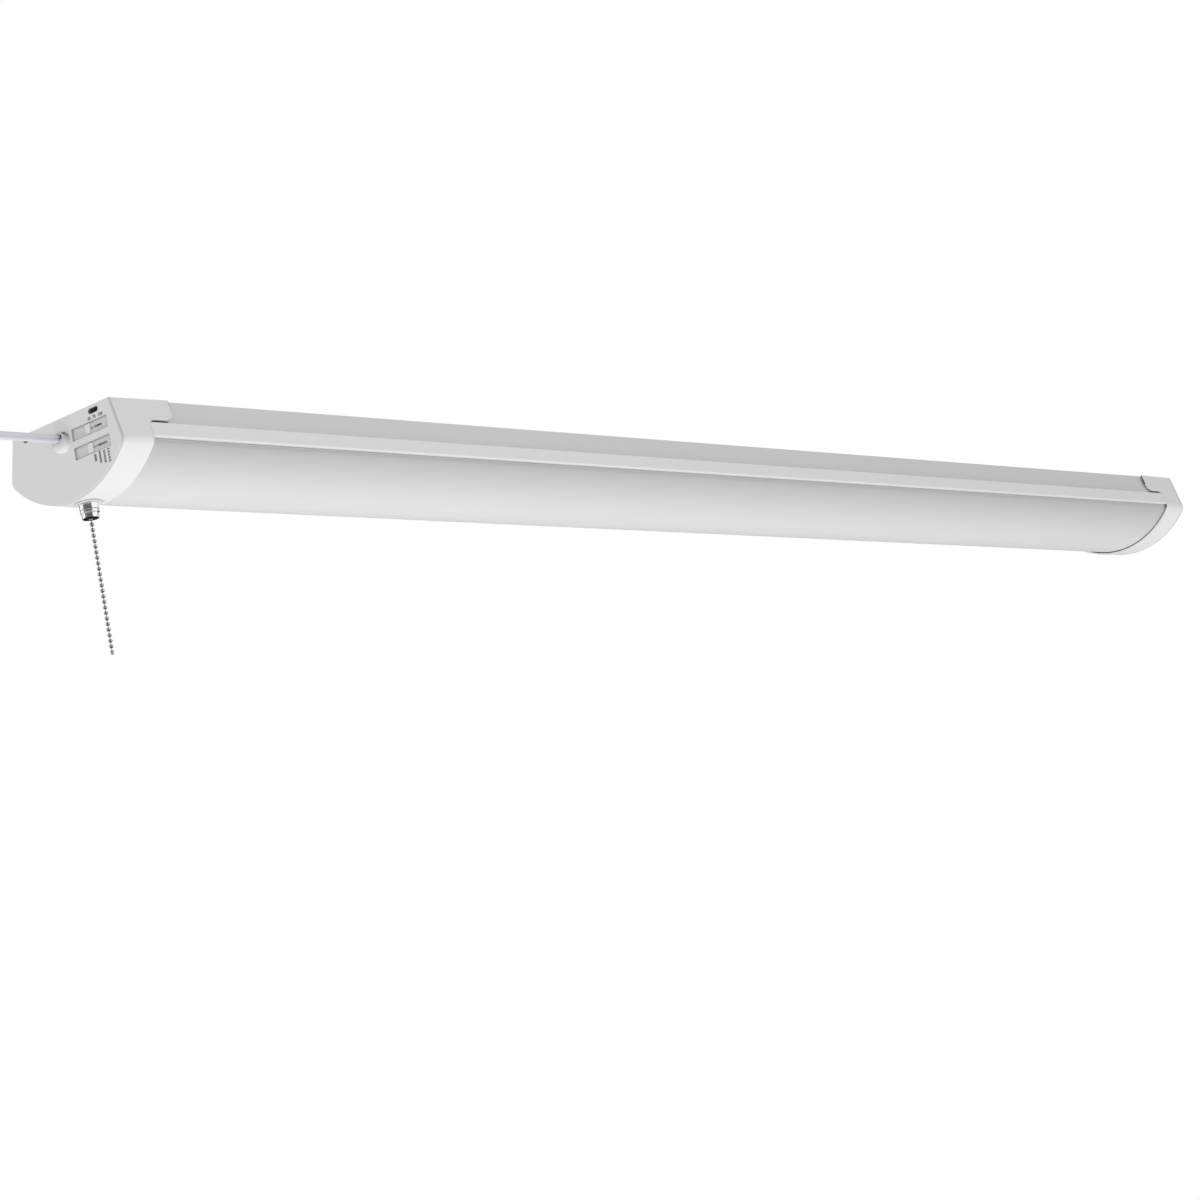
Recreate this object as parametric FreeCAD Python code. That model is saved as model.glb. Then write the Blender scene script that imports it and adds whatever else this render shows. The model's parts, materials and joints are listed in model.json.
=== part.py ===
import FreeCAD, Part
import math
import os
from FreeCAD import Vector

# Hanging LED shop light, 1.2 m class: a folded sheet housing, a bowed snap-in diffuser, two
# moulded end caps, a pull switch with a bead chain, two slide switches and a flat mains lead.
# Frame: X along the lamp, centred, the switch end at -X. Y across, the switch windows on the -Y
# side. Z up, with Z = 0 on the flat top of the housing. All sizes in millimetres.

# ---- overall form ------------------------------------------------------------------------
overall_length = 1200.0      # end face to end face
top_half = 47.0              # half width of an end face at the flat top
shoulder_half = 54.7         # half width where the slanted side meets the arc, before rounding
shoulder_drop = 28.6         # depth of that corner below the top
overall_drop = 53.65         # depth of the lowest point of an end face
shoulder_radius = 7.0        # rounding between the slanted side and the arc
side_draft = 0.035           # outward run of a cap's sides per unit of depth
rim_draft = 0.05             # the same inside the rim that slides over the housing
arc_draft = 0.0155           # outward run of a cap's arc per unit of depth

# ---- end caps ----------------------------------------------------------------------------
face_wall = 2.2              # end face of a cap
side_wall = 1.6              # slanted sides of a cap
arc_wall = 1.9               # bowed bottom of a cap
rim_arc_wall = 1.2           # the same at the rim, round the diffuser
top_wall = 1.8               # flat top plate of a cap
face_edge_radius = 0.8       # rounding round the end face
rim_rounding = 1.5           # inner rounding of the rim's shoulders
top_plate_length = 19.7      # flat top plate, from the end face
band_length = 26.0           # how far the cap's band reaches along the lamp
ear_length = 47.8            # how far the ears reach along the housing's sides
ear_drop = 14.5              # lower edge of an ear
ear_slit = 1.1               # open height under an ear
ear_tip_radius = 3.0
ear_corner_radius = 8.0
ear_root_radius = 5.0
seam = 0.3                   # gap between a cap and the housing it slides over

hang_slot_spacing = 64.0     # between the two hanging slots of an end face
hang_slot_length = 9.4
hang_slot_height = 3.5
hang_slot_drop = 3.9         # centre of the slots below the top

tongue_length = 38.0         # plate under the housing's top, from the end face
tongue_half = 34.0
tongue_thickness = 2.4
column_radius = 4.6          # screw columns under the tongue
column_reach = 31.0          # their distance from the end face
column_half_spacing = 25.0

# ---- housing: one folded sheet -------------------------------------------------------------
sheet = 0.6                  # steel sheet
bend_inner = 0.5             # inside radius of each bend
web_inset = 0.85             # upper side, inside the end face's outline
band_outset = 0.9            # lower side, outside the end face's outline
crease_height = 0.25         # height of that step
lip_drop = 26.1              # underside of the lip

# ---- diffuser ------------------------------------------------------------------------------
diffuser_gap = 0.9           # between the diffuser's bow and a cap's rim
diffuser_wall = 1.3
diffuser_corner_drop = 28.6  # where the bow ends and the snap leg begins
leg_top_drop = 22.0
leg_wall = 1.2
barb_reach = 1.1             # how far the snap barb stands out over the lip
barb_height = 0.6
barb_lead_in = 1.8
snap_gap = 0.3               # between leg and lip
diffuser_overlap = 3.5       # how far it reaches into a cap

# ---- gear tray and light sources -------------------------------------------------------------
tray_sheet = 0.6
tray_top_drop = 19.4
tray_flange_drop = 9.0       # upper edge of the tray's side flanges
tray_gap = 0.1               # between the tray's flanges and the housing
tray_from_end = 26.0         # tray's end behind the end face
led_board_from_end = 38.0
led_board_width = 16.0
led_board_thickness = 1.0
led_board_offset = 24.0      # of its middle from the lamp's middle
led_length = 3.5
led_width = 2.8
led_height = 0.8
leds_per_bay = 11            # between two screws of a board
board_screw_count = 5        # on each board
board_screw_edge = 12.0

# ---- driver ----------------------------------------------------------------------------------
driver_from_end = 80.0       # from the switch end's face
driver_length = 168.0
driver_width = 40.0
insulator_sheet = 0.5
insulator_height = 12.0
standoff_height = 2.5
driver_board_length = 156.0
driver_board_width = 30.0
board_thickness = 1.6
transformer_length = 22.0
transformer_width = 19.0
transformer_height = 11.0
transformer_x = 78.0         # along the driver board
winding_proud = 1.5          # of the core's sides
winding_step = 1.0           # above the board, and below the core's top
choke_radius = 6.0
choke_height = 9.0
choke_x = 30.0
capacitor_radius = 4.0
capacitor_height = 11.0
capacitor_places = ((50.0, -6.0), (108.0, 0.0), (126.0, 4.0))

# ---- screws ------------------------------------------------------------------------------------
screw_radius = 1.5
screw_head_radius = 2.8
screw_head_height = 1.7
screw_depth = 8.0
flush_head_radius = 3.2      # countersunk screws of the housing
flush_head_height = 1.6
screw_gap = 0.1

# ---- slide switches ----------------------------------------------------------------------------
window_length = 33.5
window_height = 7.2
window_middle = -26.4        # along Y
power_window_drop = 13.9
colour_window_drop = 26.1
window_recess = 1.1          # the switch's front plate behind the end face
window_gap = 0.15
switch_body_margin = 1.4     # switch body round the window
switch_depth = 6.6           # from the end face's inner side to the board
switch_wall = 1.2
nub_width = 4.2
nub_height = 6.4
nub_y = -24.2                # thumb piece at rest, along Y
nub_proud = 0.25             # thumb piece below the end face
stem_width = 3.0
stem_height = 1.2
carriage_length = 9.0
carriage_height = 6.0
carriage_depth = 2.2
power_travel = 11.0
colour_travel = 13.2
running_gap = 0.2            # between sliding pieces
board_post_radius = 2.6
board_post_places = ((12.9, 9.5), (-10.1, 9.1))   # along from the windows' middle, and down
board_ear_margin = 0.4       # of the board round a screw post

# ---- pull switch ---------------------------------------------------------------------------------
pull_x = 13.0                # from the end face
collar_radius = 8.5
collar_drop = 54.5
pad_radius = 9.0
pad_drop = 51.0              # inner seat of the pull switch
pull_body_length = 18.4      # along X
pull_body_width = 19.0       # along Y
pull_body_height = 14.0
pull_body_wall = 1.5
pull_lid_thickness = 1.6
pull_tab_height = 4.0
pull_tab_width = 4.0
pull_tab_thickness = 0.8
pull_tab_offset = 4.5
stem_radius = 4.75
stem_bore_radius = 2.0
stem_end_drop = 61.4
nut_radius = 6.15
nut_chamfer = 0.35
nut_drop = 58.9
bell_radius = 5.4
bell_rim_radius = 6.05
bell_rim_height = 1.5
bell_rim_slope = 1.0
bell_drop = 64.4
bell_mouth_radius = 4.4
bell_throat_radius = 3.3
bell_chamfer = 0.3
thread_gap = 0.05
rod_radius = 1.9
rod_guide_gap = 0.08
rod_head_radius = 4.2
rod_head_height = 2.5
pull_travel = 8.0
rod_head_gap = 0.3           # below the lid at rest
spring_wall = 0.8

# ---- bead chain -----------------------------------------------------------------------------------
bead_radius = 1.4
bead_pitch = 3.55
bead_link_radius = 0.3
bead_sides = 10
beads_per_length = 6
chain_piece_count = 4
first_bead_drop = 64.45
chain_tip_length = 3.2
chain_tip_radius = 1.0

# ---- mains lead ---------------------------------------------------------------------------------
cord_width = 5.6             # flat two-core lead, across both cores
cord_thickness = 2.8
cord_drop = 13.4             # centre of the lead's exit below the top
bush_drop = 15.6             # centre of the bushing below the top
bush_radius = 6.9
bush_head = 4.0              # how far the bushing stands out of the end face
bush_edge_radius = 1.6
bush_neck_radius = 5.7
bush_hole_gap = 0.1
bush_tail_radius = 5.2
bush_tail = 9.0              # behind the end face
mouth_gap = 0.35             # round the lead in the bushing's mouth
mouth_depth = 2.4
mouth_side = 2.2             # how far the mouth is open beside the lead's upper core
mouth_side_up = 1.7
mouth_side_down = 1.0
mouth_side_depth = 2.8
notch_radius = 6.45          # a curved notch in the head's upper rim
notch_width = 0.9
notch_depth = 2.8
notch_turns = (33.0, 66.0)   # degrees from upright, to the windows' side

cord_bends = (               # out from the end face and down from the exit
    (70.0, 0.0),
    (115.0, 20.5),
    (136.5, 56.0),
    (136.5, 87.0),
)
coil_first_radius = 33.5
coil_radial_pitch = 3.4
coil_axial_pitch = 6.1
coil_half_turns = 14
tail_run = 17.0
tail_tilt = 14.0             # degrees, of the tail's last run
tie_width = 4.0
tie_wall = 1.0
tie_gap = 0.3

plug_relief_length = 18.0
plug_relief_radius = 4.2
plug_body_length = 25.0
plug_body_width = 24.0
plug_body_depth = 15.0
plug_corner = 4.0
blade_spacing = 12.7
blade_length = 16.5
blade_embed = 6.0
blade_width = 6.35
blade_thickness = 1.5
blade_corner = 1.2
blade_hole_radius = 1.6
blade_hole_from_tip = 4.0

lead_radius = 0.8            # inner leads
lead_run_in = 14.0           # from where a lead lines up with its way of the terminal block
lead_cross_over = 26.0
terminal_length = 18.0
terminal_width = 15.0
terminal_height = 11.0
tower_height = 3.3
tower_radius = 2.1
tower_edge = 2.5
terminal_from_end = 52.0
grommet_hole_radius = 3.2
grommet_wall = 0.5
grommet_lip = 1.8
grommet_lip_height = 1.2
grommet_from_driver = 22.0

cutter_reach = 20.0          # how far cutting blocks go past what they cut

# ---- worked-out values ---------------------------------------------------------------------------
end_x = overall_length / 2
side_slope = (shoulder_half - top_half) / shoulder_drop
side_angle = math.atan(side_slope)
side_normal = (math.cos(side_angle), math.sin(side_angle))
side_distance = top_half * side_normal[0]
bow_rise = overall_drop - shoulder_drop
arc_radius = (bow_rise ** 2 + shoulder_half ** 2) / (2 * bow_rise)
arc_centre = arc_radius - overall_drop
diffuser_depth = band_length - diffuser_overlap
diffuser_radius = arc_radius + arc_draft * diffuser_depth - rim_arc_wall - diffuser_gap
housing_end = end_x - top_plate_length - seam
crease_drop = ear_drop + ear_slit
driver_x = -end_x + driver_from_end
terminal_x = -end_x + terminal_from_end
grommet_x = driver_x + driver_length + grommet_from_driver
tray_length = overall_length - 2 * tray_from_end
led_board_length = overall_length - 2 * led_board_from_end
board_screw_pitch = (led_board_length - 2 * board_screw_edge) / (board_screw_count - 1)
led_pitch = board_screw_pitch / leds_per_bay
led_count = leds_per_bay * (board_screw_count - 1)
pull_place = -end_x + pull_x
board_posts = [(window_middle + along, -colour_window_drop - below)
               for along, below in board_post_places]
face_inner = -end_x + face_wall
tray_top = -tray_top_drop
tray_bottom = tray_top - tray_sheet
led_board_bottom = tray_bottom - led_board_thickness


# ---- general helpers --------------------------------------------------------------------------
def box(x0, x1, y0, y1, z0, z1):
    return Part.makeBox(x1 - x0, y1 - y0, z1 - z0, Vector(x0, y0, z0))


def column(x, y, z0, z1, radius):
    """An upright round bar."""
    return Part.makeCylinder(radius, z1 - z0, Vector(x, y, z0))


def bar_x(x0, x1, y, z, radius):
    """A round bar along X."""
    return Part.makeCylinder(radius, x1 - x0, Vector(x0, y, z), Vector(1, 0, 0))


def fuse(shapes):
    joined = shapes[0]
    for shape in shapes[1:]:
        joined = joined.fuse(shape)
    return joined.removeSplitter()


def mirrored_end(shape):
    """The same piece at the other end of the lamp."""
    return shape.mirror(Vector(0, 0, 0), Vector(1, 0, 0))


def both_signs(values):
    return [sign * value for value in values for sign in (-1, 1)]


def export(name, shapes):
    shape = shapes if isinstance(shapes, Part.Shape) else Part.makeCompound(shapes)
    for solid in shape.Solids:
        if not solid.isValid() or solid.Volume <= 0:
            raise ValueError(name + " is not a valid solid")
    shape.exportStep("parts/" + name + ".step")


# ---- outline of the lamp's end ------------------------------------------------------------------
def side_y(offset, z):
    """Half width of the slanted side at a height, set out by an offset square to it."""
    return (side_distance + offset - side_normal[1] * z) / side_normal[0]


def outline(x, side_offset, arc_offset, rounding, top):
    """The closed outline across the lamp at x: flat top, slanted sides, rounded shoulders, bow."""
    radius = arc_radius + arc_offset
    normal = Vector(0, side_normal[0], side_normal[1])
    along = Vector(0, side_normal[1], -side_normal[0])
    centre = Vector(0, 0, arc_centre)
    reach = side_distance + side_offset - rounding - side_normal[1] * arc_centre
    run = math.sqrt((radius - rounding) ** 2 - reach ** 2)
    pivot = centre + normal * reach + along * run
    outward = (pivot - centre).normalize()
    middle = (normal + outward).normalize()
    right = [
        Vector(0, side_y(side_offset, top), top),
        pivot + normal * rounding,
        pivot + middle * rounding,
        centre + outward * radius,
    ]
    left = [Vector(0, -point.y, point.z) for point in right]
    bottom = Vector(0, 0, arc_centre - radius)
    edges = [
        Part.LineSegment(left[0], right[0]),
        Part.LineSegment(right[0], right[1]),
        Part.Arc(right[1], right[2], right[3]),
        Part.Arc(right[3], bottom, left[3]),
        Part.Arc(left[3], left[2], left[1]),
        Part.LineSegment(left[1], left[0]),
    ]
    wire = Part.Wire([edge.toShape() for edge in edges])
    wire.translate(Vector(x, 0, 0))
    return wire


def drafted(start, end, side, arc, rounding, top):
    """A drafted block between two depths behind the switch end's face.

    side and arc are each an offset at the face and a draft."""
    wires = [
        outline(-end_x + depth, side[0] + side[1] * depth, arc[0] + arc[1] * depth, rounding,
                top)
        for depth in (start, end)
    ]
    return Part.makeLoft(wires, True, True)


# ---- folded sheet -------------------------------------------------------------------------------
def offset_points(points, distance):
    """The points of a path set off to its right, met at each corner."""
    lines = []
    for first, second in zip(points, points[1:]):
        along = (second - first).normalize()
        shift = Vector(along.y, -along.x, 0) * distance
        lines.append((first + shift, second + shift, along))
    result = [lines[0][0]]
    for (start, _, before), (other, _, after) in zip(lines, lines[1:]):
        cross = before.x * after.y - before.y * after.x
        gap = other - start
        travel = (gap.x * after.y - gap.y * after.x) / cross
        result.append(start + before * travel)
    return result + [lines[-1][1]]


def bent_path(points, radii):
    """Lines through the points with each inner corner rounded to its radius."""
    edges = []
    at = points[0]
    for before, corner, after, radius in zip(points, points[1:], points[2:], radii):
        back = (before - corner).normalize()
        ahead = (after - corner).normalize()
        half = back.getAngle(ahead) / 2
        cut = radius / math.tan(half)
        start, end = corner + back * cut, corner + ahead * cut
        inward = (back + ahead).normalize()
        middle = corner + inward * (radius / math.sin(half) - radius)
        edges.append(Part.LineSegment(at, start).toShape())
        edges.append(Part.Arc(start, middle, end).toShape())
        at = end
    edges.append(Part.LineSegment(at, points[-1]).toShape())
    return edges


def folded(points, thickness):
    """The section of a sheet whose outer face follows the points, the sheet on their right."""
    corners = [Vector(across, up, 0) for across, up in points]
    inner = offset_points(corners, thickness)
    outer_radii, inner_radii = [], []
    for before, corner, after in zip(corners, corners[1:], corners[2:]):
        first, second = corner - before, after - corner
        turns_right = first.x * second.y - first.y * second.x < 0
        outer_radii.append(bend_inner + (thickness if turns_right else 0))
        inner_radii.append(bend_inner + (0 if turns_right else thickness))
    edges = bent_path(corners, outer_radii) + bent_path(inner, inner_radii)
    edges.append(Part.LineSegment(corners[0], inner[0]).toShape())
    edges.append(Part.LineSegment(corners[-1], inner[-1]).toShape())
    return Part.Face(Part.Wire(Part.__sortEdges__(edges)))


def along_lamp(face, x0, x1):
    """A section drawn across (y, z) run from x0 to x1."""
    face.Placement = FreeCAD.Placement(
        Vector(x0, 0, 0), FreeCAD.Rotation(Vector(0, 1, 0), Vector(0, 0, 1), Vector(1, 0, 0), "ZXY"))
    return face.extrude(Vector(x1 - x0, 0, 0))


def mirrored_points(right):
    """A path from the left end to the right end, from its right half."""
    return [(-across, up) for across, up in reversed(right)] + right


# ---- rounded prisms -----------------------------------------------------------------------------
def slot_outline(x, y, z, length, height):
    """An obround across the lamp at x, its long way along Y."""
    half, radius = length / 2 - height / 2, height / 2
    edges = [
        Part.LineSegment(Vector(x, y - half, z + radius), Vector(x, y + half, z + radius)),
        Part.Arc(Vector(x, y + half, z + radius), Vector(x, y + half + radius, z),
                 Vector(x, y + half, z - radius)),
        Part.LineSegment(Vector(x, y + half, z - radius), Vector(x, y - half, z - radius)),
        Part.Arc(Vector(x, y - half, z - radius), Vector(x, y - half - radius, z),
                 Vector(x, y - half, z + radius)),
    ]
    return Part.Wire([edge.toShape() for edge in edges])


def slot_prism(x0, x1, y, z, length, height):
    return Part.Face(slot_outline(x0, y, z, length, height)).extrude(Vector(x1 - x0, 0, 0))


def rounded_edges(shape, radius, chosen):
    return shape.makeFillet(radius, [edge for edge in shape.Edges if chosen(edge)])


def turned(profile):
    """A turned piece round the Z axis from its (radius, height) profile."""
    points = [Vector(radius, 0, height) for radius, height in profile]
    face = Part.Face(Part.makePolygon(points + [points[0]]))
    return face.revolve(Vector(0, 0, 0), Vector(0, 0, 1), 360)


def pan_screw(x, y, seat, up):
    """A pan-head screw: its head on one side of the seat, its shank up or down from it."""
    way = 1 if up else -1
    screw = turned([
        (0, -screw_head_height * way),
        (screw_head_radius * 0.6, -screw_head_height * way),
        (screw_head_radius, -screw_head_height * 0.5 * way),
        (screw_head_radius, 0),
        (screw_radius, 0),
        (screw_radius, screw_depth * way),
        (0, screw_depth * way),
    ])
    screw.translate(Vector(x, y, seat))
    return screw


# ---- end caps --------------------------------------------------------------------------------------
def cap_silhouette():
    """Seen from the side: the band, and the ear that runs on along the housing."""
    start = Vector(-end_x - 1, 0, 1)
    tip = -end_x + ear_length
    band = -end_x + band_length
    points = [
        start,
        Vector(tip, 0, 1),
        Vector(tip, 0, -ear_drop),
        Vector(band, 0, -ear_drop),
        Vector(band, 0, -overall_drop - 10),
        Vector(-end_x - 1, 0, -overall_drop - 10),
    ]
    radii = [ear_tip_radius / 2, ear_corner_radius, ear_root_radius, 0.5]
    edges = bent_path(points, radii)
    edges.append(Part.LineSegment(points[-1], start).toShape())
    return Part.Face(Part.Wire(edges))


def cap_shell():
    """The moulded cap: a drafted wall all round, thinner where it slides over the housing."""
    outer = drafted(0, ear_length + 1, (0, side_draft), (0, arc_draft), shoulder_radius, 0)
    outer = rounded_edges(outer, face_edge_radius,
                          lambda edge: abs(edge.BoundBox.XMax + end_x) < 0.01)
    cavity = drafted(face_wall, top_plate_length, (-side_wall, side_draft),
                     (-arc_wall, arc_draft), shoulder_radius - arc_wall, -top_wall)
    rim = (seam - web_inset - rim_draft * top_plate_length, rim_draft)
    mouth = drafted(top_plate_length - seam, ear_length + 2, rim, (-rim_arc_wall, arc_draft),
                    rim_rounding, 2)
    half_span = shoulder_half + cutter_reach
    side_view = cap_silhouette()
    side_view.translate(Vector(0, -half_span, 0))
    kept = side_view.extrude(Vector(0, 2 * half_span, 0))
    return outer.cut(cavity).cut(mouth).common(kept)


def tongue():
    """The plate that slides under the housing's top, with its two screw columns."""
    columns_x = -end_x + column_reach
    top = -sheet - screw_gap
    plate = box(-end_x + face_wall - 0.5, -end_x + tongue_length, -tongue_half, tongue_half,
                top - tongue_thickness, top)
    plate = rounded_edges(plate, ear_tip_radius,
                          lambda edge: edge.BoundBox.ZLength > tongue_thickness * 0.9
                          and edge.BoundBox.XMin > columns_x)
    shapes = [plate]
    for y in both_signs([column_half_spacing]):
        post = column(columns_x, y, tray_top, top, column_radius)
        shapes.append(post)
    return fuse(shapes)


def end_cap():
    """What both caps share: the shell, the tongue, the hanging slots and the screw holes."""
    slots_cut = [
        slot_prism(-end_x - 1, face_inner + 1, y, -hang_slot_drop, hang_slot_length,
                   hang_slot_height)
        for y in both_signs([hang_slot_spacing / 2])
    ]
    inner_tongue = tongue()
    for y in both_signs([hang_slot_spacing / 2]):
        inner_tongue = inner_tongue.cut(
            slot_prism(-end_x, -end_x + 2 * hang_slot_length, y, -hang_slot_drop,
                       hang_slot_length + 1, hang_slot_height + 1))
    cap = cap_shell().fuse(inner_tongue)
    for slot in slots_cut:
        cap = cap.cut(slot)
    for y in both_signs([column_half_spacing]):
        x = -end_x + column_reach
        seat = Part.makeCone(screw_radius, flush_head_radius + sheet + screw_gap,
                             flush_head_height + sheet + screw_gap + 0.2,
                             Vector(x, y, -flush_head_height - sheet - screw_gap - 0.2))
        cap = cap.cut(seat)
        cap = cap.cut(column(x, y, tray_top - 1, 0, screw_radius))
    return cap.removeSplitter()


def left_end_cap():
    """The cap with the switch windows, the lead's hole and the pull switch's collar."""
    collar = column(pull_place, 0, -collar_drop, -overall_drop + arc_wall, collar_radius)
    collar = rounded_edges(collar, 0.4, lambda edge: edge.CenterOfMass.z < -collar_drop + 0.1
                           and len(edge.Vertexes) == 1)
    pad = column(pull_place, 0, -overall_drop, -pad_drop, pad_radius)
    cap = end_cap().fuse(collar).fuse(pad)
    for y, z in board_posts:
        cap = cap.fuse(bar_x(face_inner - 0.5, face_inner + switch_depth, y, z,
                             board_post_radius))
    window_low = window_middle - window_length / 2
    for drop in (power_window_drop, colour_window_drop):
        cap = cap.cut(box(-end_x - 1, face_inner + 1, window_low, window_low + window_length,
                          -drop - window_height / 2, -drop + window_height / 2))
    cap = cap.cut(bar_x(-end_x - 1, face_inner + 1, 0, -bush_drop,
                        bush_neck_radius + bush_hole_gap))
    cap = cap.cut(column(pull_place, 0, -collar_drop - 1, -pad_drop + 1,
                         stem_radius + thread_gap))
    for y, z in board_posts:
        cap = cap.cut(bar_x(face_inner + 1, face_inner + switch_depth + 1, y, z, screw_radius))
    return cap.removeSplitter()


# ---- housing -------------------------------------------------------------------------------------
def housing():
    """The folded sheet: flat top, slanted sides that step out, and lips that hold the diffuser."""
    step_bottom = crease_drop + crease_height
    right = [
        (side_y(-web_inset, 0), 0),
        (side_y(-web_inset, -crease_drop), -crease_drop),
        (side_y(band_outset, -step_bottom), -step_bottom),
        (side_y(band_outset, -lip_drop), -lip_drop),
        (leg_y(-lip_drop) + snap_gap, -lip_drop),
    ]
    channel = along_lamp(folded(mirrored_points(right), sheet), -housing_end, housing_end)
    for way in (-1, 1):
        channel = channel.cut(band_trim(way))
    for x in both_signs([end_x - column_reach]):
        for y in both_signs([column_half_spacing]):
            channel = channel.cut(column(x, y, -sheet * 2, 1, flush_head_radius))
            channel = channel.fuse(dimple(x, y))
    return channel.removeSplitter()


def band_trim(way):
    """What the lower side leaves free for a cap's band and for the rounding of its corner."""
    radius = ear_root_radius - seam
    centre = Vector(-end_x + band_length + ear_root_radius, 0, -ear_drop - ear_root_radius)
    top = centre + Vector(0, 0, radius)
    middle = centre + Vector(-radius, 0, radius).normalize() * radius
    side = centre + Vector(-radius, 0, 0)
    outside = -end_x - 5
    points = [side, Vector(side.x, 0, -overall_drop), Vector(outside, 0, -overall_drop),
              Vector(outside, 0, top.z), top]
    edges = [Part.LineSegment(first, second).toShape()
             for first, second in zip(points, points[1:])]
    edges.append(Part.Arc(top, middle, side).toShape())
    face = Part.Face(Part.Wire(edges))
    reach = shoulder_half + cutter_reach
    face.translate(Vector(0, -reach, 0))
    block = face.extrude(Vector(0, 2 * reach, 0))
    return block if way < 0 else mirrored_end(block)


def dimple(x, y):
    """A screw seat pressed into the sheet."""
    height = flush_head_height
    outer = Part.makeCone(screw_radius + screw_gap + sheet, flush_head_radius + sheet, height,
                          Vector(x, y, -height))
    flange = column(x, y, -sheet, 0, flush_head_radius + sheet)
    inner = Part.makeCone(screw_radius + screw_gap, flush_head_radius, height,
                          Vector(x, y, -height))
    return outer.fuse(flange).cut(inner)


def flush_screw(x, y):
    cone = Part.makeCone(screw_radius, flush_head_radius - screw_gap, flush_head_height,
                         Vector(x, y, -flush_head_height))
    shank = column(x, y, -flush_head_height - screw_depth, -flush_head_height, screw_radius)
    return cone.fuse(shank)


# ---- diffuser ------------------------------------------------------------------------------------
def bow_y(radius, z):
    """Half width of the diffuser's bow at a height."""
    return math.sqrt(radius ** 2 - (z - arc_centre) ** 2)


def leg_y(z):
    """Outer face of the snap leg, parallel to the lamp's slanted side."""
    corner_z = -diffuser_corner_drop
    return bow_y(diffuser_radius, corner_z) - side_slope * (z - corner_z)


def diffuser_section():
    """The bowed wall with a snap leg on each edge that hooks over the housing's lip."""
    corner_z = -diffuser_corner_drop
    barb_bottom = -lip_drop + sheet + snap_gap
    barb_top = barb_bottom + barb_height
    inner_radius = diffuser_radius - diffuser_wall
    inner_corner_z = corner_z + leg_wall / 2
    outer = [
        (leg_y(corner_z), corner_z),
        (leg_y(barb_bottom), barb_bottom),
        (leg_y(barb_bottom) + barb_reach, barb_bottom),
        (leg_y(barb_bottom) + barb_reach, barb_top),
        (leg_y(barb_top + barb_lead_in), barb_top + barb_lead_in),
        (leg_y(-leg_top_drop), -leg_top_drop),
        (leg_y(-leg_top_drop) - leg_wall, -leg_top_drop),
        (bow_y(inner_radius, inner_corner_z), inner_corner_z),
    ]
    right = [Vector(y, z, 0) for y, z in outer]
    left = [Vector(-point.x, point.y, 0) for point in right]
    edges = []
    for side in (right, left):
        edges += [Part.LineSegment(a, b).toShape() for a, b in zip(side, side[1:])]
    low = Vector(0, arc_centre - diffuser_radius, 0)
    edges.append(Part.Arc(right[0], low, left[0]).toShape())
    low = Vector(0, arc_centre - inner_radius, 0)
    edges.append(Part.Arc(right[-1], low, left[-1]).toShape())
    return Part.Face(Part.Wire(Part.__sortEdges__(edges)))


def diffuser():
    half = end_x - diffuser_depth
    return along_lamp(diffuser_section(), -half, half)


# ---- gear tray and light sources ---------------------------------------------------------------
def led_tray():
    inset = web_inset + sheet + tray_gap
    right = [
        (side_y(-inset, -tray_flange_drop), -tray_flange_drop),
        (side_y(-inset, tray_bottom), tray_bottom),
    ]
    path = [(-across, up) for across, up in right] + list(reversed(right))
    tray = along_lamp(folded(list(reversed(path)), tray_sheet), -tray_length / 2,
                      tray_length / 2)
    for x in both_signs([end_x - column_reach]):
        for y in both_signs([column_half_spacing]):
            tray = tray.cut(column(x, y, tray_bottom - 1, tray_top + 1,
                                   screw_radius + screw_gap))
    for x, y in board_screw_places():
        tray = tray.cut(column(x, y, tray_bottom - 1, tray_top + 1, screw_radius))
    for x, y in driver_screw_places():
        tray = tray.cut(column(x, y, tray_bottom - 1, tray_top + 1, screw_radius))
    return tray.cut(column(grommet_x, 0, tray_bottom - 1, tray_top + 1,
                           grommet_hole_radius + grommet_wall))


def board_screw_places():
    first = -(board_screw_count - 1) / 2 * board_screw_pitch
    return [
        (first + index * board_screw_pitch, y)
        for index in range(board_screw_count)
        for y in both_signs([led_board_offset])
    ]


def led_board(side):
    y = side * led_board_offset
    board = box(-led_board_length / 2, led_board_length / 2, y - led_board_width / 2,
                y + led_board_width / 2, led_board_bottom, tray_bottom)
    for x, screw_y in board_screw_places():
        board = board.cut(column(x, screw_y, led_board_bottom - 1, tray_bottom + 1,
                                 screw_radius + screw_gap))
    return board


def led_row(side):
    """The light sources of one board, each a flat square package."""
    first = -(led_count - 1) / 2 * led_pitch
    y = side * led_board_offset
    return [
        box(x - led_length / 2, x + led_length / 2, y - led_width / 2, y + led_width / 2,
            led_board_bottom - led_height, led_board_bottom)
        for x in (first + index * led_pitch for index in range(led_count))
    ]


# ---- driver ------------------------------------------------------------------------------------------
driver_board_x = driver_x + (driver_length - driver_board_length) / 2
driver_floor = tray_top + insulator_sheet
driver_board_low = driver_floor + standoff_height
driver_board_top = driver_board_low + board_thickness


def driver_screw_places():
    inset = 6.0
    return [
        (driver_board_x + along, y)
        for along in (inset, driver_board_length - inset)
        for y in both_signs([driver_board_width / 2 - inset / 1.5])
    ]


def driver_insulator():
    half = driver_width / 2
    path = [(half, tray_top + insulator_height), (half, tray_top), (-half, tray_top),
            (-half, tray_top + insulator_height)]
    trough = along_lamp(folded(path, insulator_sheet), driver_x, driver_x + driver_length)
    for x, y in driver_screw_places():
        trough = trough.cut(column(x, y, tray_top - 1, driver_floor + 1,
                                   screw_radius + screw_gap))
    return trough


def driver_standoffs():
    return [
        column(x, y, driver_floor, driver_board_low, screw_head_radius)
        .cut(column(x, y, driver_floor - 1, driver_board_low + 1, screw_radius + screw_gap))
        for x, y in driver_screw_places()
    ]


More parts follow.
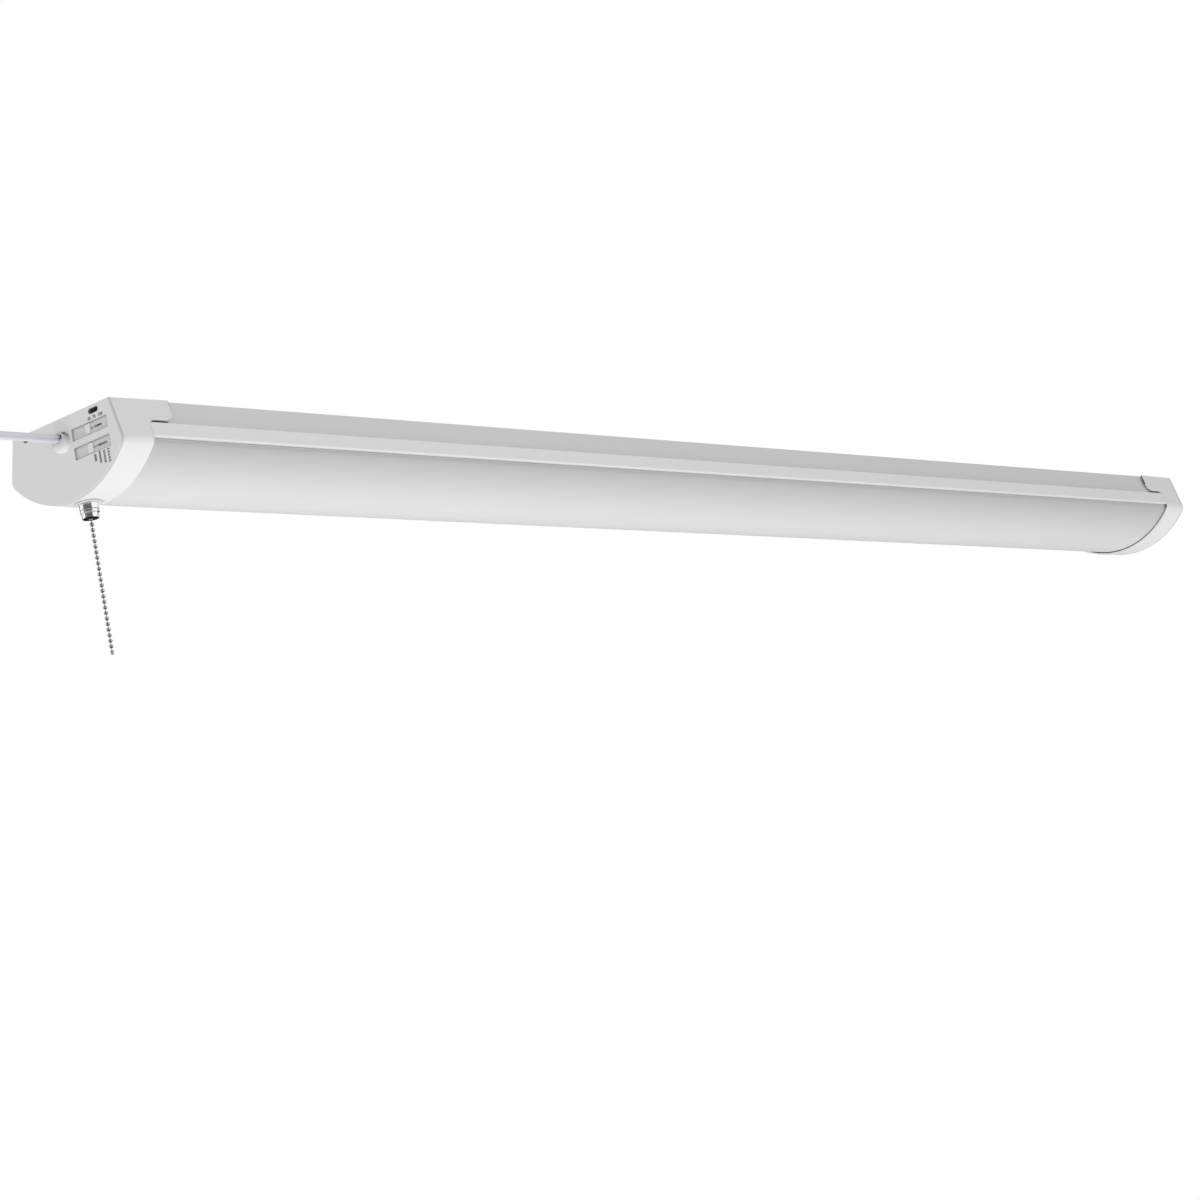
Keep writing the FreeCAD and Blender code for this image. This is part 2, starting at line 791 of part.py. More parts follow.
def driver_board():
    half = driver_board_width / 2
    board = box(driver_board_x, driver_board_x + driver_board_length, -half, half,
                driver_board_low, driver_board_top)
    for x, y in driver_screw_places():
        board = board.cut(column(x, y, driver_board_low - 1, driver_board_top + 1,
                                 screw_radius + screw_gap))
    return board


def driver_transformer():
    """A ferrite core with its taped winding standing out on both sides."""
    x = driver_board_x + transformer_x
    half = transformer_width / 2
    top = driver_board_top + transformer_height
    core = box(x, x + transformer_length, -half, half, driver_board_top, top)
    quarter = transformer_length / 4
    winding = box(x + quarter, x + transformer_length - quarter, -half - winding_proud,
                  half + winding_proud, driver_board_top + winding_step, top - winding_step)
    return core.fuse(winding).removeSplitter()


def driver_capacitors():
    return [
        column(driver_board_x + along, y, driver_board_top,
               driver_board_top + capacitor_height, capacitor_radius)
        for along, y in capacitor_places
    ]


def driver_choke():
    """A toroid lying on the board."""
    x = driver_board_x + choke_x
    ring = column(x, 0, driver_board_top, driver_board_top + choke_height / 2, choke_radius)
    return ring.cut(column(x, 0, driver_board_top - 1, driver_board_top + choke_height,
                           choke_radius / 2))


# ---- slide switches ---------------------------------------------------------------------------------
def switch_body(drop, travel):
    """A box behind the window: a front plate in the window, a slot, and the carriage's way."""
    z = -drop
    half_y, half_z = window_length / 2, window_height / 2
    board_x = face_inner + switch_depth
    front = box(-end_x + window_recess, face_inner + 0.5, window_middle - half_y + window_gap,
                window_middle + half_y - window_gap, z - half_z + window_gap,
                z + half_z - window_gap)
    block = box(face_inner, board_x, window_middle - half_y - switch_body_margin,
                window_middle + half_y + switch_body_margin, z - half_z - switch_body_margin,
                z + half_z + switch_body_margin)
    plate_back = -end_x + window_recess + switch_wall
    slot_low = nub_y - travel - stem_width / 2 - running_gap
    slot_high = nub_y + stem_width / 2 + running_gap
    slot_half = stem_height / 2 + running_gap
    slot = box(-end_x, plate_back + 1, slot_low, slot_high, z - slot_half, z + slot_half)
    way_low = nub_y - travel - carriage_length / 2 - running_gap
    way_high = nub_y + carriage_length / 2 + running_gap
    way_half = carriage_height / 2 + running_gap
    way_end = plate_back + carriage_depth + 2 * running_gap
    way = box(plate_back, way_end, way_low, way_high, z - way_half, z + way_half)
    return front.fuse(block).cut(slot).cut(way).removeSplitter()


def slider(drop):
    """The ribbed thumb piece, its stem through the slot and the carriage behind it."""
    z = -drop
    plate_front = -end_x + window_recess
    plate_back = plate_front + switch_wall
    nub = box(-end_x + nub_proud, plate_front - running_gap / 2, nub_y - nub_width / 2,
              nub_y + nub_width / 2, z - nub_height / 2, z + nub_height / 2)
    grooves = [
        box(-end_x, -end_x + nub_proud + 0.25, y - 0.25, y + 0.25, z - nub_height,
            z + nub_height)
        for y in (nub_y - 1.2, nub_y, nub_y + 1.2)
    ]
    for groove in grooves:
        nub = nub.cut(groove)
    stem = box(plate_front - running_gap / 2 - 0.3, plate_back + running_gap + 0.5,
               nub_y - stem_width / 2, nub_y + stem_width / 2, z - stem_height / 2,
               z + stem_height / 2)
    carriage_start = plate_back + running_gap
    carriage = box(carriage_start, carriage_start + carriage_depth, nub_y - carriage_length / 2,
                   nub_y + carriage_length / 2, z - carriage_height / 2,
                   z + carriage_height / 2)
    return nub.fuse(stem).fuse(carriage).removeSplitter()


def switch_board():
    """The board that the two slide switches are soldered to, with two screw ears."""
    x0 = face_inner + switch_depth
    x1 = x0 + board_thickness
    half_y = window_length / 2 + switch_body_margin
    half_z = window_height / 2 + switch_body_margin
    low = -colour_window_drop - half_z
    margin = board_post_radius + board_ear_margin
    ys = [y for y, _ in board_posts]
    zs = [z for _, z in board_posts]
    board = box(x0, x1, window_middle - half_y, window_middle + half_y, low,
                -power_window_drop + half_z)
    board = board.fuse(box(x0, x1, min(ys) - margin, max(ys) + margin, min(zs) - margin, low))
    for y, z in board_posts:
        board = board.cut(bar_x(x0 - 1, x1 + 1, y, z, screw_radius + screw_gap))
    return board.removeSplitter()


def switch_board_screws():
    seat = face_inner + switch_depth + board_thickness
    shapes = []
    for y, z in board_posts:
        head = bar_x(seat, seat + screw_head_height, y, z, screw_head_radius)
        shank = bar_x(face_inner + 1.5, seat, y, z, screw_radius)
        shapes.append(head.fuse(shank))
    return shapes


# ---- pull switch -------------------------------------------------------------------------------------
pull_body_top = -pad_drop + pull_body_height
spring_low = -pad_drop + pull_body_wall
rod_head_low = pull_body_top - rod_head_gap - rod_head_height
tab_top = pull_body_top + pull_lid_thickness + pull_tab_height


def pull_switch_body():
    """The moulded cup of the pull switch, with the rod's way through its floor."""
    half_x, half_y = pull_body_length / 2, pull_body_width / 2
    cup = box(pull_place - half_x, pull_place + half_x, -half_y, half_y, -pad_drop,
              pull_body_top)
    cup = rounded_edges(cup, 3.0, lambda edge: edge.BoundBox.ZLength > pull_body_height * 0.9)
    hollow_x, hollow_y = half_x - pull_body_wall, half_y - pull_body_wall
    hollow = box(pull_place - hollow_x, pull_place + hollow_x, -hollow_y, hollow_y, spring_low,
                 pull_body_top + 1)
    cup = cup.cut(hollow)
    return cup.cut(column(pull_place, 0, -pad_drop - 1, spring_low + 1,
                          rod_radius + rod_guide_gap))


def pull_switch_lid():
    """The lid that carries the two terminals."""
    half_x, half_y = pull_body_length / 2, pull_body_width / 2
    lid = box(pull_place - half_x, pull_place + half_x, -half_y, half_y, pull_body_top,
              pull_body_top + pull_lid_thickness)
    lid = rounded_edges(lid, 3.0, lambda edge: edge.BoundBox.ZLength > pull_lid_thickness * 0.9)
    top = pull_body_top + pull_lid_thickness
    half_tab, half_sheet = pull_tab_width / 2, pull_tab_thickness / 2
    for y in both_signs([pull_tab_offset]):
        lid = lid.fuse(box(pull_place - half_tab, pull_place + half_tab, y - half_sheet,
                           y + half_sheet, top, tab_top))
    return lid.removeSplitter()


def pull_switch_stem():
    """The threaded tube through the cap, drawn without its thread."""
    tube = column(pull_place, 0, -stem_end_drop, -pad_drop, stem_radius)
    return tube.cut(column(pull_place, 0, -stem_end_drop - 1, -pad_drop + 1, stem_bore_radius))


def pull_switch_nut():
    """The round fixing nut under the collar."""
    nut = turned([
        (stem_radius + thread_gap, -collar_drop),
        (nut_radius - nut_chamfer, -collar_drop),
        (nut_radius, -collar_drop - nut_chamfer),
        (nut_radius, -nut_drop + nut_chamfer),
        (nut_radius - nut_chamfer, -nut_drop),
        (stem_radius + thread_gap, -nut_drop),
    ])
    nut.translate(Vector(pull_place, 0, 0))
    return nut


def chain_bell():
    """The flared chain guide screwed on the stem's end."""
    shelf = -stem_end_drop - screw_gap
    bell = turned([
        (stem_radius + thread_gap, -nut_drop),
        (bell_rim_radius - bell_chamfer, -nut_drop),
        (bell_rim_radius, -nut_drop - bell_chamfer),
        (bell_rim_radius, -nut_drop - bell_rim_height),
        (bell_radius, -nut_drop - bell_rim_height - bell_rim_slope),
        (bell_radius, -bell_drop + bell_chamfer),
        (bell_radius - bell_chamfer, -bell_drop),
        (bell_mouth_radius, -bell_drop),
        (bell_throat_radius, shelf),
        (stem_radius + thread_gap, shelf),
    ])
    bell.translate(Vector(pull_place, 0, 0))
    return bell


def pull_rod():
    """The rod that the chain pulls: a head on the spring, a shank, and a cup for the chain."""
    link_z = -first_bead_drop + bead_pitch / 2
    shank_end = link_z + bead_pitch / 2
    head = column(pull_place, 0, rod_head_low, rod_head_low + rod_head_height, rod_head_radius)
    shank = column(pull_place, 0, shank_end, rod_head_low, rod_radius)
    cup = Part.makeCone(rod_radius - 0.7, rod_radius, bead_pitch / 2 - 0.6,
                        Vector(pull_place, 0, link_z + 0.6))
    link = Part.makeSphere(bead_link_radius, Vector(pull_place, 0, link_z))
    neck = column(pull_place, 0, link_z, link_z + 0.7, bead_link_radius * 0.7)
    return fuse([head, shank, cup, neck, link])


def pull_spring():
    """The return spring round the rod, drawn as the sleeve that its turns fill."""
    outer = rod_radius + rod_guide_gap + 0.3 + spring_wall
    sleeve = column(pull_place, 0, spring_low, rod_head_low, outer)
    return sleeve.cut(column(pull_place, 0, spring_low - 1, rod_head_low + 1,
                             outer - spring_wall))


# ---- bead chain -------------------------------------------------------------------------------------
def ring_stack(x, rings, sides):
    """A turned shape in flat facets: a point or ring of points at each height."""
    rows = []
    for radius, z in rings:
        if radius == 0:
            rows.append([Vector(x, 0, z)])
            continue
        rows.append([
            Vector(x + radius * math.cos(2 * math.pi * i / sides),
                   radius * math.sin(2 * math.pi * i / sides), z)
            for i in range(sides)
        ])
    faces = []
    for upper, lower in zip(rows, rows[1:]):
        for i in range(sides):
            j = (i + 1) % sides
            if len(upper) == 1:
                corners = [upper[0], lower[i], lower[j]]
            elif len(lower) == 1:
                corners = [upper[i], lower[0], upper[j]]
            else:
                corners = [upper[i], lower[i], lower[j], upper[j]]
            faces.append(Part.Face(Part.makePolygon(corners + [corners[0]])))
    return Part.Solid(Part.Shell(faces))


def bead_rings(z, top_link, bottom_link):
    """One hollow-looking bead of the chain in five bands, with its wire link above and below."""
    rings = []
    for angle in (60, 30, 0, -30, -60):
        turn = math.radians(angle)
        rings.append((bead_radius * math.cos(turn), z + bead_radius * math.sin(turn)))
    polar = bead_radius * 0.97
    above = [(bead_link_radius, z + polar)] if top_link else [(0, z + bead_radius)]
    below = [(bead_link_radius, z - polar)] if bottom_link else [(0, z - bead_radius)]
    return above + rings + below


def chain_length(index):
    """One length of the bead chain; its last bead carries the link to the next length."""
    first = -first_bead_drop - index * beads_per_length * bead_pitch
    rings = []
    for bead in range(beads_per_length):
        z = first - bead * bead_pitch
        last = bead == beads_per_length - 1
        rings += bead_rings(z, bead > 0, True)
        if last:
            link_z = z - bead_pitch / 2
            rings.append((bead_link_radius, link_z))
            rings.append((0, link_z - bead_link_radius))
    return ring_stack(pull_place, rings, bead_sides)


def chain_tip():
    """The small end piece crimped on the last link."""
    last_bead = -first_bead_drop - (chain_piece_count * beads_per_length - 1) * bead_pitch
    top = last_bead - bead_pitch / 2 - bead_link_radius - 0.05
    rings = [
        (0, top),
        (chain_tip_radius * 0.7, top - 0.1),
        (chain_tip_radius, top - 0.8),
        (chain_tip_radius, top - chain_tip_length + 0.8),
        (chain_tip_radius * 0.7, top - chain_tip_length),
        (0, top - chain_tip_length - 0.05),
    ]
    return ring_stack(pull_place, rings, bead_sides)


# ---- mains lead --------------------------------------------------------------------------------------
def cord_bushing():
    """The strain relief: a domed head with the lead's mouth, a neck and a split tail inside."""
    front = -end_x - bush_head
    head = bar_x(front, -end_x, 0, -bush_drop, bush_radius)
    head = rounded_edges(head, bush_edge_radius,
                         lambda edge: abs(edge.CenterOfMass.x - front) < 0.1
                         and len(edge.Vertexes) == 1)
    neck = bar_x(-end_x - 0.5, face_inner + 0.2, 0, -bush_drop, bush_neck_radius)
    tail = Part.makeCone(bush_neck_radius + 0.3, bush_tail_radius, bush_tail - face_wall - 0.2,
                         Vector(face_inner + 0.2, 0, -bush_drop), Vector(1, 0, 0))
    bush = fuse([head, neck, tail])
    mouth = slot_prism(0, bush_head, 0, 0, cord_width + 2 * mouth_gap,
                       cord_thickness + 2 * mouth_gap)
    mouth.rotate(Vector(0, 0, 0), Vector(1, 0, 0), 90)
    mouth.translate(Vector(front - bush_head + mouth_depth, 0, -cord_drop))
    beside = box(front - 1, front + mouth_side_depth, -cord_thickness / 2 - mouth_gap - mouth_side,
                 0, -cord_drop - mouth_side_down, -cord_drop + mouth_side_up)
    ring = bar_x(front - 1, front + notch_depth, 0, -bush_drop, notch_radius + notch_width / 2)
    ring = ring.cut(bar_x(front - 2, -end_x, 0, -bush_drop, notch_radius - notch_width / 2))
    centre = Vector(front - 2, 0, -bush_drop)
    sides = [centre + Vector(0, -math.sin(math.radians(turn)), math.cos(math.radians(turn)))
             * 3 * bush_radius for turn in notch_turns]
    wedge = Part.Face(Part.makePolygon([centre] + sides + [centre]))
    notch = ring.common(wedge.extrude(Vector(bush_head + 2, 0, 0)))
    return bush.cut(mouth).cut(beside).cut(notch).removeSplitter()


def tangent_path(points):
    """Straight runs joined by arcs as large as their runs allow; returns edges and radii."""
    edges, radii = [], []
    at = points[0]
    for before, corner, after in zip(points, points[1:], points[2:]):
        back, ahead = before - corner, after - corner
        half_turn = (math.pi - back.getAngle(ahead)) / 2
        cut = 0.45 * min(back.Length, ahead.Length)
        radius = cut / math.tan(half_turn)
        back, ahead = back.normalize(), ahead.normalize()
        start, end = corner + back * cut, corner + ahead * cut
        inward = (back + ahead).normalize()
        middle = corner + inward * (radius / math.cos(half_turn) - radius)
        edges.append(Part.LineSegment(at, start).toShape())
        edges.append(Part.Arc(start, middle, end).toShape())
        radii.append(radius)
        at = end
    edges.append(Part.LineSegment(at, points[-1]).toShape())
    return edges, radii


def flat_section(start, along, wide_way):
    """The lead's flat section: an obround square to the way along."""
    half, radius = cord_width / 2 - cord_thickness / 2, cord_thickness / 2
    wide = Vector(wide_way).normalize()
    thin = Vector(along).cross(wide).normalize()
    corners = [start + wide * (a * half) + thin * (b * radius)
               for a, b in ((-1, 1), (1, 1), (1, -1), (-1, -1))]
    tips = [start + wide * (half + radius), start - wide * (half + radius)]
    edges = [
        Part.LineSegment(corners[0], corners[1]),
        Part.Arc(corners[1], tips[0], corners[2]),
        Part.LineSegment(corners[2], corners[3]),
        Part.Arc(corners[3], tips[1], corners[0]),
    ]
    return Part.Wire([edge.toShape() for edge in edges])


def swept(edges, section):
    shell = Part.BRepOffsetAPI.MakePipeShell(Part.Wire(edges))
    shell.add(section)
    shell.build()
    shell.makeSolid()
    return shell.shape()


def report_tube(name, solid, edges, section_area, radii):
    length = sum(edge.Length for edge in edges)
    print(name, "length %.1f" % length, "volume over section x length %.4f"
          % (solid.Volume / (section_area * length)), "radii",
          [round(radius, 1) for radius in radii])


cord_area = (cord_width - cord_thickness) * cord_thickness + math.pi * cord_thickness ** 2 / 4


def cord_points():
    """The lead's route: from the floor of the bushing's mouth, then by its bends."""
    start = Vector(-end_x - bush_head + mouth_depth, 0, -cord_drop)
    return [start] + [Vector(-end_x - out, 0, -cord_drop - down) for out, down in cord_bends]


def power_cord():
    """From the bushing's mouth, straight out and then down to the coil."""
    points = cord_points()
    edges, radii = tangent_path(points)
    tube = swept(edges, flat_section(points[0], points[1] - points[0], Vector(0, 0, 1)))
    report_tube("power_cord", tube, edges, cord_area, radii)
    return tube


climb_at = coil_half_turns // 2 - 1
coil_inner_radius = coil_first_radius - climb_at * coil_radial_pitch / 2
coil_tilt = math.degrees(coil_axial_pitch / coil_inner_radius) / 2


def hung(shape):
    """Turns what is drawn in the coil's plane about the upright through the lead's end.

    A climb turns the flat lead by its rise over its radius. The coil's plane is turned by half
    of that, so that the lead runs on straight into the coil, and both layers lie alike."""
    shape.rotate(coil_start, Vector(0, 0, 1), -coil_tilt)
    return shape


def hung_way(turns):
    """The lead's wide way, turned about the upright by so many times the coil's tilt."""
    angle = -math.radians(coil_tilt * turns)
    return Vector(math.cos(angle), math.sin(angle), 0)


def half_turn(start, down, radius):
    """A half turn in the coil's plane from the near side (down) or the far side (up)."""
    way = 1 if down else -1
    end = start + Vector(0, 2 * radius * way, 0)
    middle = start + Vector(0, radius * way, -radius * way)
    return [Part.Arc(start, middle, end).toShape()], end


def climbing_half_turn(start, down, radius, climb):
    """The half turn that changes layer: two quarter turns that meet at its middle."""
    way = 1 if down else -1
    end = start + Vector(climb, 2 * radius * way, 0)
    begin_way = Vector(0, 0, -way)
    middle = start + Vector(climb / 2, radius * way, -radius * way)
    meet_way = Vector(climb, math.pi * radius * way, 0).normalize()
    edges = []
    for first, second, first_way, second_way in (
            (start, middle, begin_way, meet_way),
            (middle, end, meet_way, begin_way * -1)):
        edges += biarc(first, second, first_way, second_way)
    return edges, end


def biarc(first, second, first_way, second_way):
    """Two arcs that leave along the first way and arrive along the second, equally far in."""
    chord = second - first
    total = first_way + second_way
    a = 2 * (1 - first_way.dot(second_way))
    b = 2 * chord.dot(total)
    c = -chord.dot(chord)
    reach = (-b + math.sqrt(b * b - 4 * a * c)) / (2 * a)
    joint = (first + second + (first_way - second_way) * reach) * 0.5
    edges = []
    for start, end, way in ((first, joint, first_way), (joint, second, None)):
        span = end - start
        if way is None:
            way = (joint - first - first_way * reach).normalize()
        side = span - way * span.dot(way)
        turn = math.atan2(side.Length, span.dot(way))
        radius = span.Length / (2 * math.sin(turn))
        side = side.normalize()
        middle = start + way * (radius * math.sin(turn)) + side * (
            radius * (1 - math.cos(turn)))
        edges.append(Part.Arc(start, middle, end).toShape())
    return edges


coil_start = cord_points()[-1]


def coil_edges():
    """The coiled lead's line: in over the first layer, a climb, out over the second."""
    edges, radii = [], []
    at = coil_start - Vector(0, 0, cord_width)
    edges.append(Part.LineSegment(coil_start, at).toShape())
    step = coil_radial_pitch / 2
    for index in range(coil_half_turns):
        inward = min(index, climb_at)
        outward = max(index - climb_at, 0)
        radius = coil_first_radius - (inward - outward) * step
        down = index % 2 == 0
        if index == climb_at:
            turn, at = climbing_half_turn(at, down, radius, -coil_axial_pitch)
        else:
            turn, at = half_turn(at, down, radius)
        edges += turn
        radii.append(radius)
    end = at - Vector(0, 0, cord_width)
    edges.append(Part.LineSegment(at, end).toShape())
    return edges, radii, end


def self_gap(edges, skip, across):
    """Least distance between two stretches of a line, less the lead's size there."""
    points = []
    for edge in edges:
        count = max(2, int(edge.Length / 3))
        points += edge.discretize(Number=count)[:-1]
    least = 1e9
    for i, first in enumerate(points):
        for second in points[i + skip:]:
            apart = first - second
            sideways = max(abs(apart.x) - across[0], 0)
            inplane = max(math.hypot(apart.y, apart.z) - across[1], 0)
            least = min(least, math.hypot(sideways, inplane))
    return least


def cord_coil():
    """The put-away length of the lead, wound flat in two layers."""
    edges, radii, _ = coil_edges()
    section = flat_section(coil_start, Vector(0, 0, -1), hung_way(-1))
    coil = swept(edges, section)
    report_tube("cord_coil", coil, edges, cord_area, radii)
    turned_thickness = cord_thickness / math.cos(math.radians(coil_tilt))
    print("cord_coil least gap to itself %.2f"
          % self_gap(edges, 12, (cord_width, turned_thickness)))
    return hung(coil)


def coil_tie():
    """The tie round the bundle at the coil's lowest point."""
    centre_y = coil_start.y + coil_first_radius
    level = coil_start.z - cord_width
    flat_half = (cord_width - cord_thickness) / 2
    half = cord_thickness / 2 + flat_half * math.sin(math.radians(coil_tilt))
    high = level - coil_inner_radius + half + tie_gap
    low = level - coil_first_radius - half - tie_gap
    right = coil_start.x + cord_width / 2 + tie_gap
    left = coil_start.x - coil_axial_pitch - cord_width / 2 - tie_gap
    outer = box(left - tie_wall, right + tie_wall, centre_y - tie_width / 2,
                centre_y + tie_width / 2, low - tie_wall, high + tie_wall)
    inner = box(left, right, centre_y - tie_width, centre_y + tie_width, low, high)
    return hung(outer.cut(inner))


def tail_points():
    _, _, coil_end = coil_edges()
    start = hung(Part.Vertex(coil_end)).Point
    tilt = math.radians(tail_tilt)
    corner = start - Vector(0, 0, tail_run)
    end = corner + Vector(0, -math.sin(tilt), -math.cos(tilt)) * tail_run
    return [start, corner, end]


def cord_tail():
    """The last of the lead, from the coil to the plug."""
    points = tail_points()
    edges, radii = tangent_path(points)
    tube = swept(edges, flat_section(points[0], Vector(0, 0, -1), hung_way(2)))
    report_tube("cord_tail", tube, edges, cord_area, radii)
    return tube


def plug_place(shape):
    """Puts a shape drawn downwards from the origin on the tail's end."""
    tail_end = tail_points()[-1]
    shape.rotate(Vector(0, 0, 0), Vector(1, 0, 0), -tail_tilt)
    shape.translate(tail_end)
    return shape


def plug_blades_drawn():
    """Two flat blades with cut corners and a hole, seated in the plug's body."""
    start = -plug_relief_length - plug_body_length + blade_embed
    end = start - blade_embed - blade_length
    half = blade_width / 2
    outline_points = [
        (-half, start), (half, start), (half, end + blade_corner), (half - blade_corner, end),
        (blade_corner - half, end), (-half, end + blade_corner),
    ]
    blades = []
    for x in both_signs([blade_spacing / 2]):
        near = x - blade_thickness / 2
        points = [Vector(near, across, up) for across, up in outline_points]
        blade = Part.Face(Part.makePolygon(points + [points[0]]))
        blade = blade.extrude(Vector(blade_thickness, 0, 0))
        hole = bar_x(near - 1, near + blade_thickness + 1, 0, end + blade_hole_from_tip,
                     blade_hole_radius)
        blades.append(blade.cut(hole))
    return blades


def plug_blades():
    return [plug_place(blade) for blade in plug_blades_drawn()]


def plug_body():
    """The moulded plug: a tapered relief, rounded shoulders and a flat front."""
    relief = Part.makeCone(plug_relief_radius, plug_relief_radius + 1.2, plug_relief_length + 1,
                           Vector(0, 0, 0), Vector(0, 0, -1))
    low = -plug_relief_length - plug_body_length
    half_x, half_y = plug_body_width / 2, plug_body_depth / 2
    body = box(-half_x, half_x, -half_y, half_y, low, -plug_relief_length)
    body = rounded_edges(body, plug_corner, lambda edge: edge.CenterOfMass.z > low + 0.1)
    plug = relief.fuse(body).removeSplitter()
    for blade in plug_blades_drawn():
        plug = plug.cut(blade)
    return plug_place(plug)


# ---- inner leads ----------------------------------------------------------------------------------
def lead(points):
    """A round inner lead along its route."""
    corners = [Vector(*point) for point in points]
    edges, _ = tangent_path(corners)
    circle = Part.makeCircle(lead_radius, corners[0], corners[1] - corners[0])
    return swept(edges, Part.Wire([circle]))


def mains_leads():
    """Two cores from the bushing: one to the terminal block, one by way of the pull switch."""
    bush_end = -end_x + bush_tail
    block_z = tray_top + terminal_height / 2
    core_y, way_y = lead_radius * 2, terminal_width / 2 - 3.5
    return [
        lead([
            (bush_end, core_y, -cord_drop),
            (bush_end + 3, core_y, -cord_drop),
            (terminal_x - lead_run_in, way_y, block_z + 1),
            (terminal_x - 3, way_y, block_z),
            (terminal_x, way_y, block_z),
        ]),
        lead([
            (bush_end, -core_y, -cord_drop),
            (bush_end + 3, -core_y, -cord_drop),
            (pull_place + 2, -pull_tab_offset + 1, tab_top + 10),
            (pull_place, -pull_tab_offset, tab_top + 3),
            (pull_place, -pull_tab_offset, tab_top),
        ]),
        lead([
            (pull_place, pull_tab_offset, tab_top),
            (pull_place, pull_tab_offset, tab_top + 4),
            (pull_place + 4, pull_tab_offset - 2, tab_top + 12),
            (terminal_x - lead_cross_over, -way_y / 2, block_z - 0.5),
            (terminal_x - 3, -way_y, block_z),
            (terminal_x, -way_y, block_z),
        ]),
    ]


def terminal_block():
    """A three-way block: a base with a round screw tower over each way."""
    half = terminal_width / 2
    block = box(terminal_x, terminal_x + terminal_length, -half, half, tray_top,
                tray_top + terminal_height - tower_height)
    x = terminal_x + terminal_length / 2
    for y in (-half + tower_edge, 0, half - tower_edge):
        block = block.fuse(column(x, y, tray_top + 1, tray_top + terminal_height,
                                  tower_radius))
    return block.removeSplitter()


def cable_grommet():
    """A rubber ring in the tray for the leads to the light boards."""
    outer = grommet_hole_radius + grommet_lip
    neck = grommet_hole_radius + grommet_wall
    ring = turned([
        (grommet_hole_radius, tray_top + grommet_lip_height),
        (outer, tray_top + grommet_lip_height),
        (outer, tray_top),
        (neck, tray_top),
        (neck, tray_bottom),
        (outer, tray_bottom),
        (outer, tray_bottom - grommet_lip_height),
        (grommet_hole_radius, tray_bottom - grommet_lip_height),
    ])
    ring.translate(Vector(grommet_x, 0, 0))
    return ring


def led_leads():
    """The pair of leads from the driver through the grommet to the two boards."""
    start_x = driver_board_x + driver_board_length
    level = (driver_board_low + driver_board_top) / 2
    through = grommet_hole_radius / 2
    low = led_board_bottom - 4.5
    shapes = []
    for side in (-1, 1):
        inner_edge = led_board_offset - led_board_width / 2 + 2 * lead_radius
        shapes.append(lead([
            (start_x, side * 3, level),
            (start_x + 4, side * 3, level),
            (grommet_x - 5, side * through, level + 1),
            (grommet_x, side * through, level - 1),
            (grommet_x, side * through, tray_bottom - 2.5),
            (grommet_x, side * through * 4, low),
            (grommet_x, side * inner_edge, low),
            (grommet_x, side * inner_edge, led_board_bottom),
        ]))
    return shapes


# ---- build ------------------------------------------------------------------------------------------
def build():
    os.makedirs("parts", exist_ok=True)
    tray_screw_x = end_x - column_reach
    near, far = -1, 1
    export("housing", housing())
    export("left_end_cap", left_end_cap())
    export("right_end_cap", mirrored_end(end_cap()))
    export("diffuser", diffuser())
    export("housing_screws", [flush_screw(x, y) for x in both_signs([tray_screw_x])
                              for y in both_signs([column_half_spacing])])
    export("led_tray", led_tray())
    export("tray_screws", [pan_screw(x, y, tray_bottom, True)
                           for x in both_signs([tray_screw_x])
                           for y in both_signs([column_half_spacing])])
    export("led_board_near", led_board(near))
    export("led_board_far", led_board(far))
    export("leds_near", led_row(near))
    export("leds_far", led_row(far))
    export("led_board_screws", [pan_screw(x, y, led_board_bottom, True)
                                for x, y in board_screw_places()])
    export("driver_insulator", driver_insulator())
    export("driver_standoffs", driver_standoffs())
    export("driver_board", driver_board())
    export("driver_transformer", driver_transformer())
    export("driver_choke", driver_choke())
    export("driver_capacitors", driver_capacitors())
    export("driver_screws", [pan_screw(x, y, driver_board_top, False)
                             for x, y in driver_screw_places()])
    export("terminal_block", terminal_block())
    export("power_switch_body", switch_body(power_window_drop, power_travel))
    export("power_slider", slider(power_window_drop))
    export("colour_switch_body", switch_body(colour_window_drop, colour_travel))
    export("colour_slider", slider(colour_window_drop))
    export("switch_board", switch_board())
    export("switch_board_screws", switch_board_screws())
    export("pull_switch_body", pull_switch_body())
    export("pull_switch_lid", pull_switch_lid())
    export("pull_switch_stem", pull_switch_stem())
    export("pull_switch_nut", pull_switch_nut())
    export("chain_bell", chain_bell())
    export("pull_rod", pull_rod())
    export("pull_spring", pull_spring())
    for index in range(chain_piece_count):
        export("bead_chain_%d" % (index + 1), chain_length(index))
    export("chain_tip", chain_tip())
    export("cord_bushing", cord_bushing())
    export("power_cord", power_cord())
    export("cord_coil", cord_coil())
    export("coil_tie", coil_tie())
    export("cord_tail", cord_tail())
    export("plug_body", plug_body())
    export("plug_blades", plug_blades())
    export("mains_leads", mains_leads())
    export("cable_grommet", cable_grommet())
    export("led_leads", led_leads())


build()
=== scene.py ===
"""The looks of a hanging LED shop light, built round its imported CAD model.

Frame: metres, X along the light with the switch end at -X, the switch windows on the -Y side,
Z up with Z = 0 on the housing's flat top. Sizes below are in millimetres unless they say so.
"""
import json
import math

import bmesh
import bpy
import numpy as np
from mathutils import Matrix, Vector

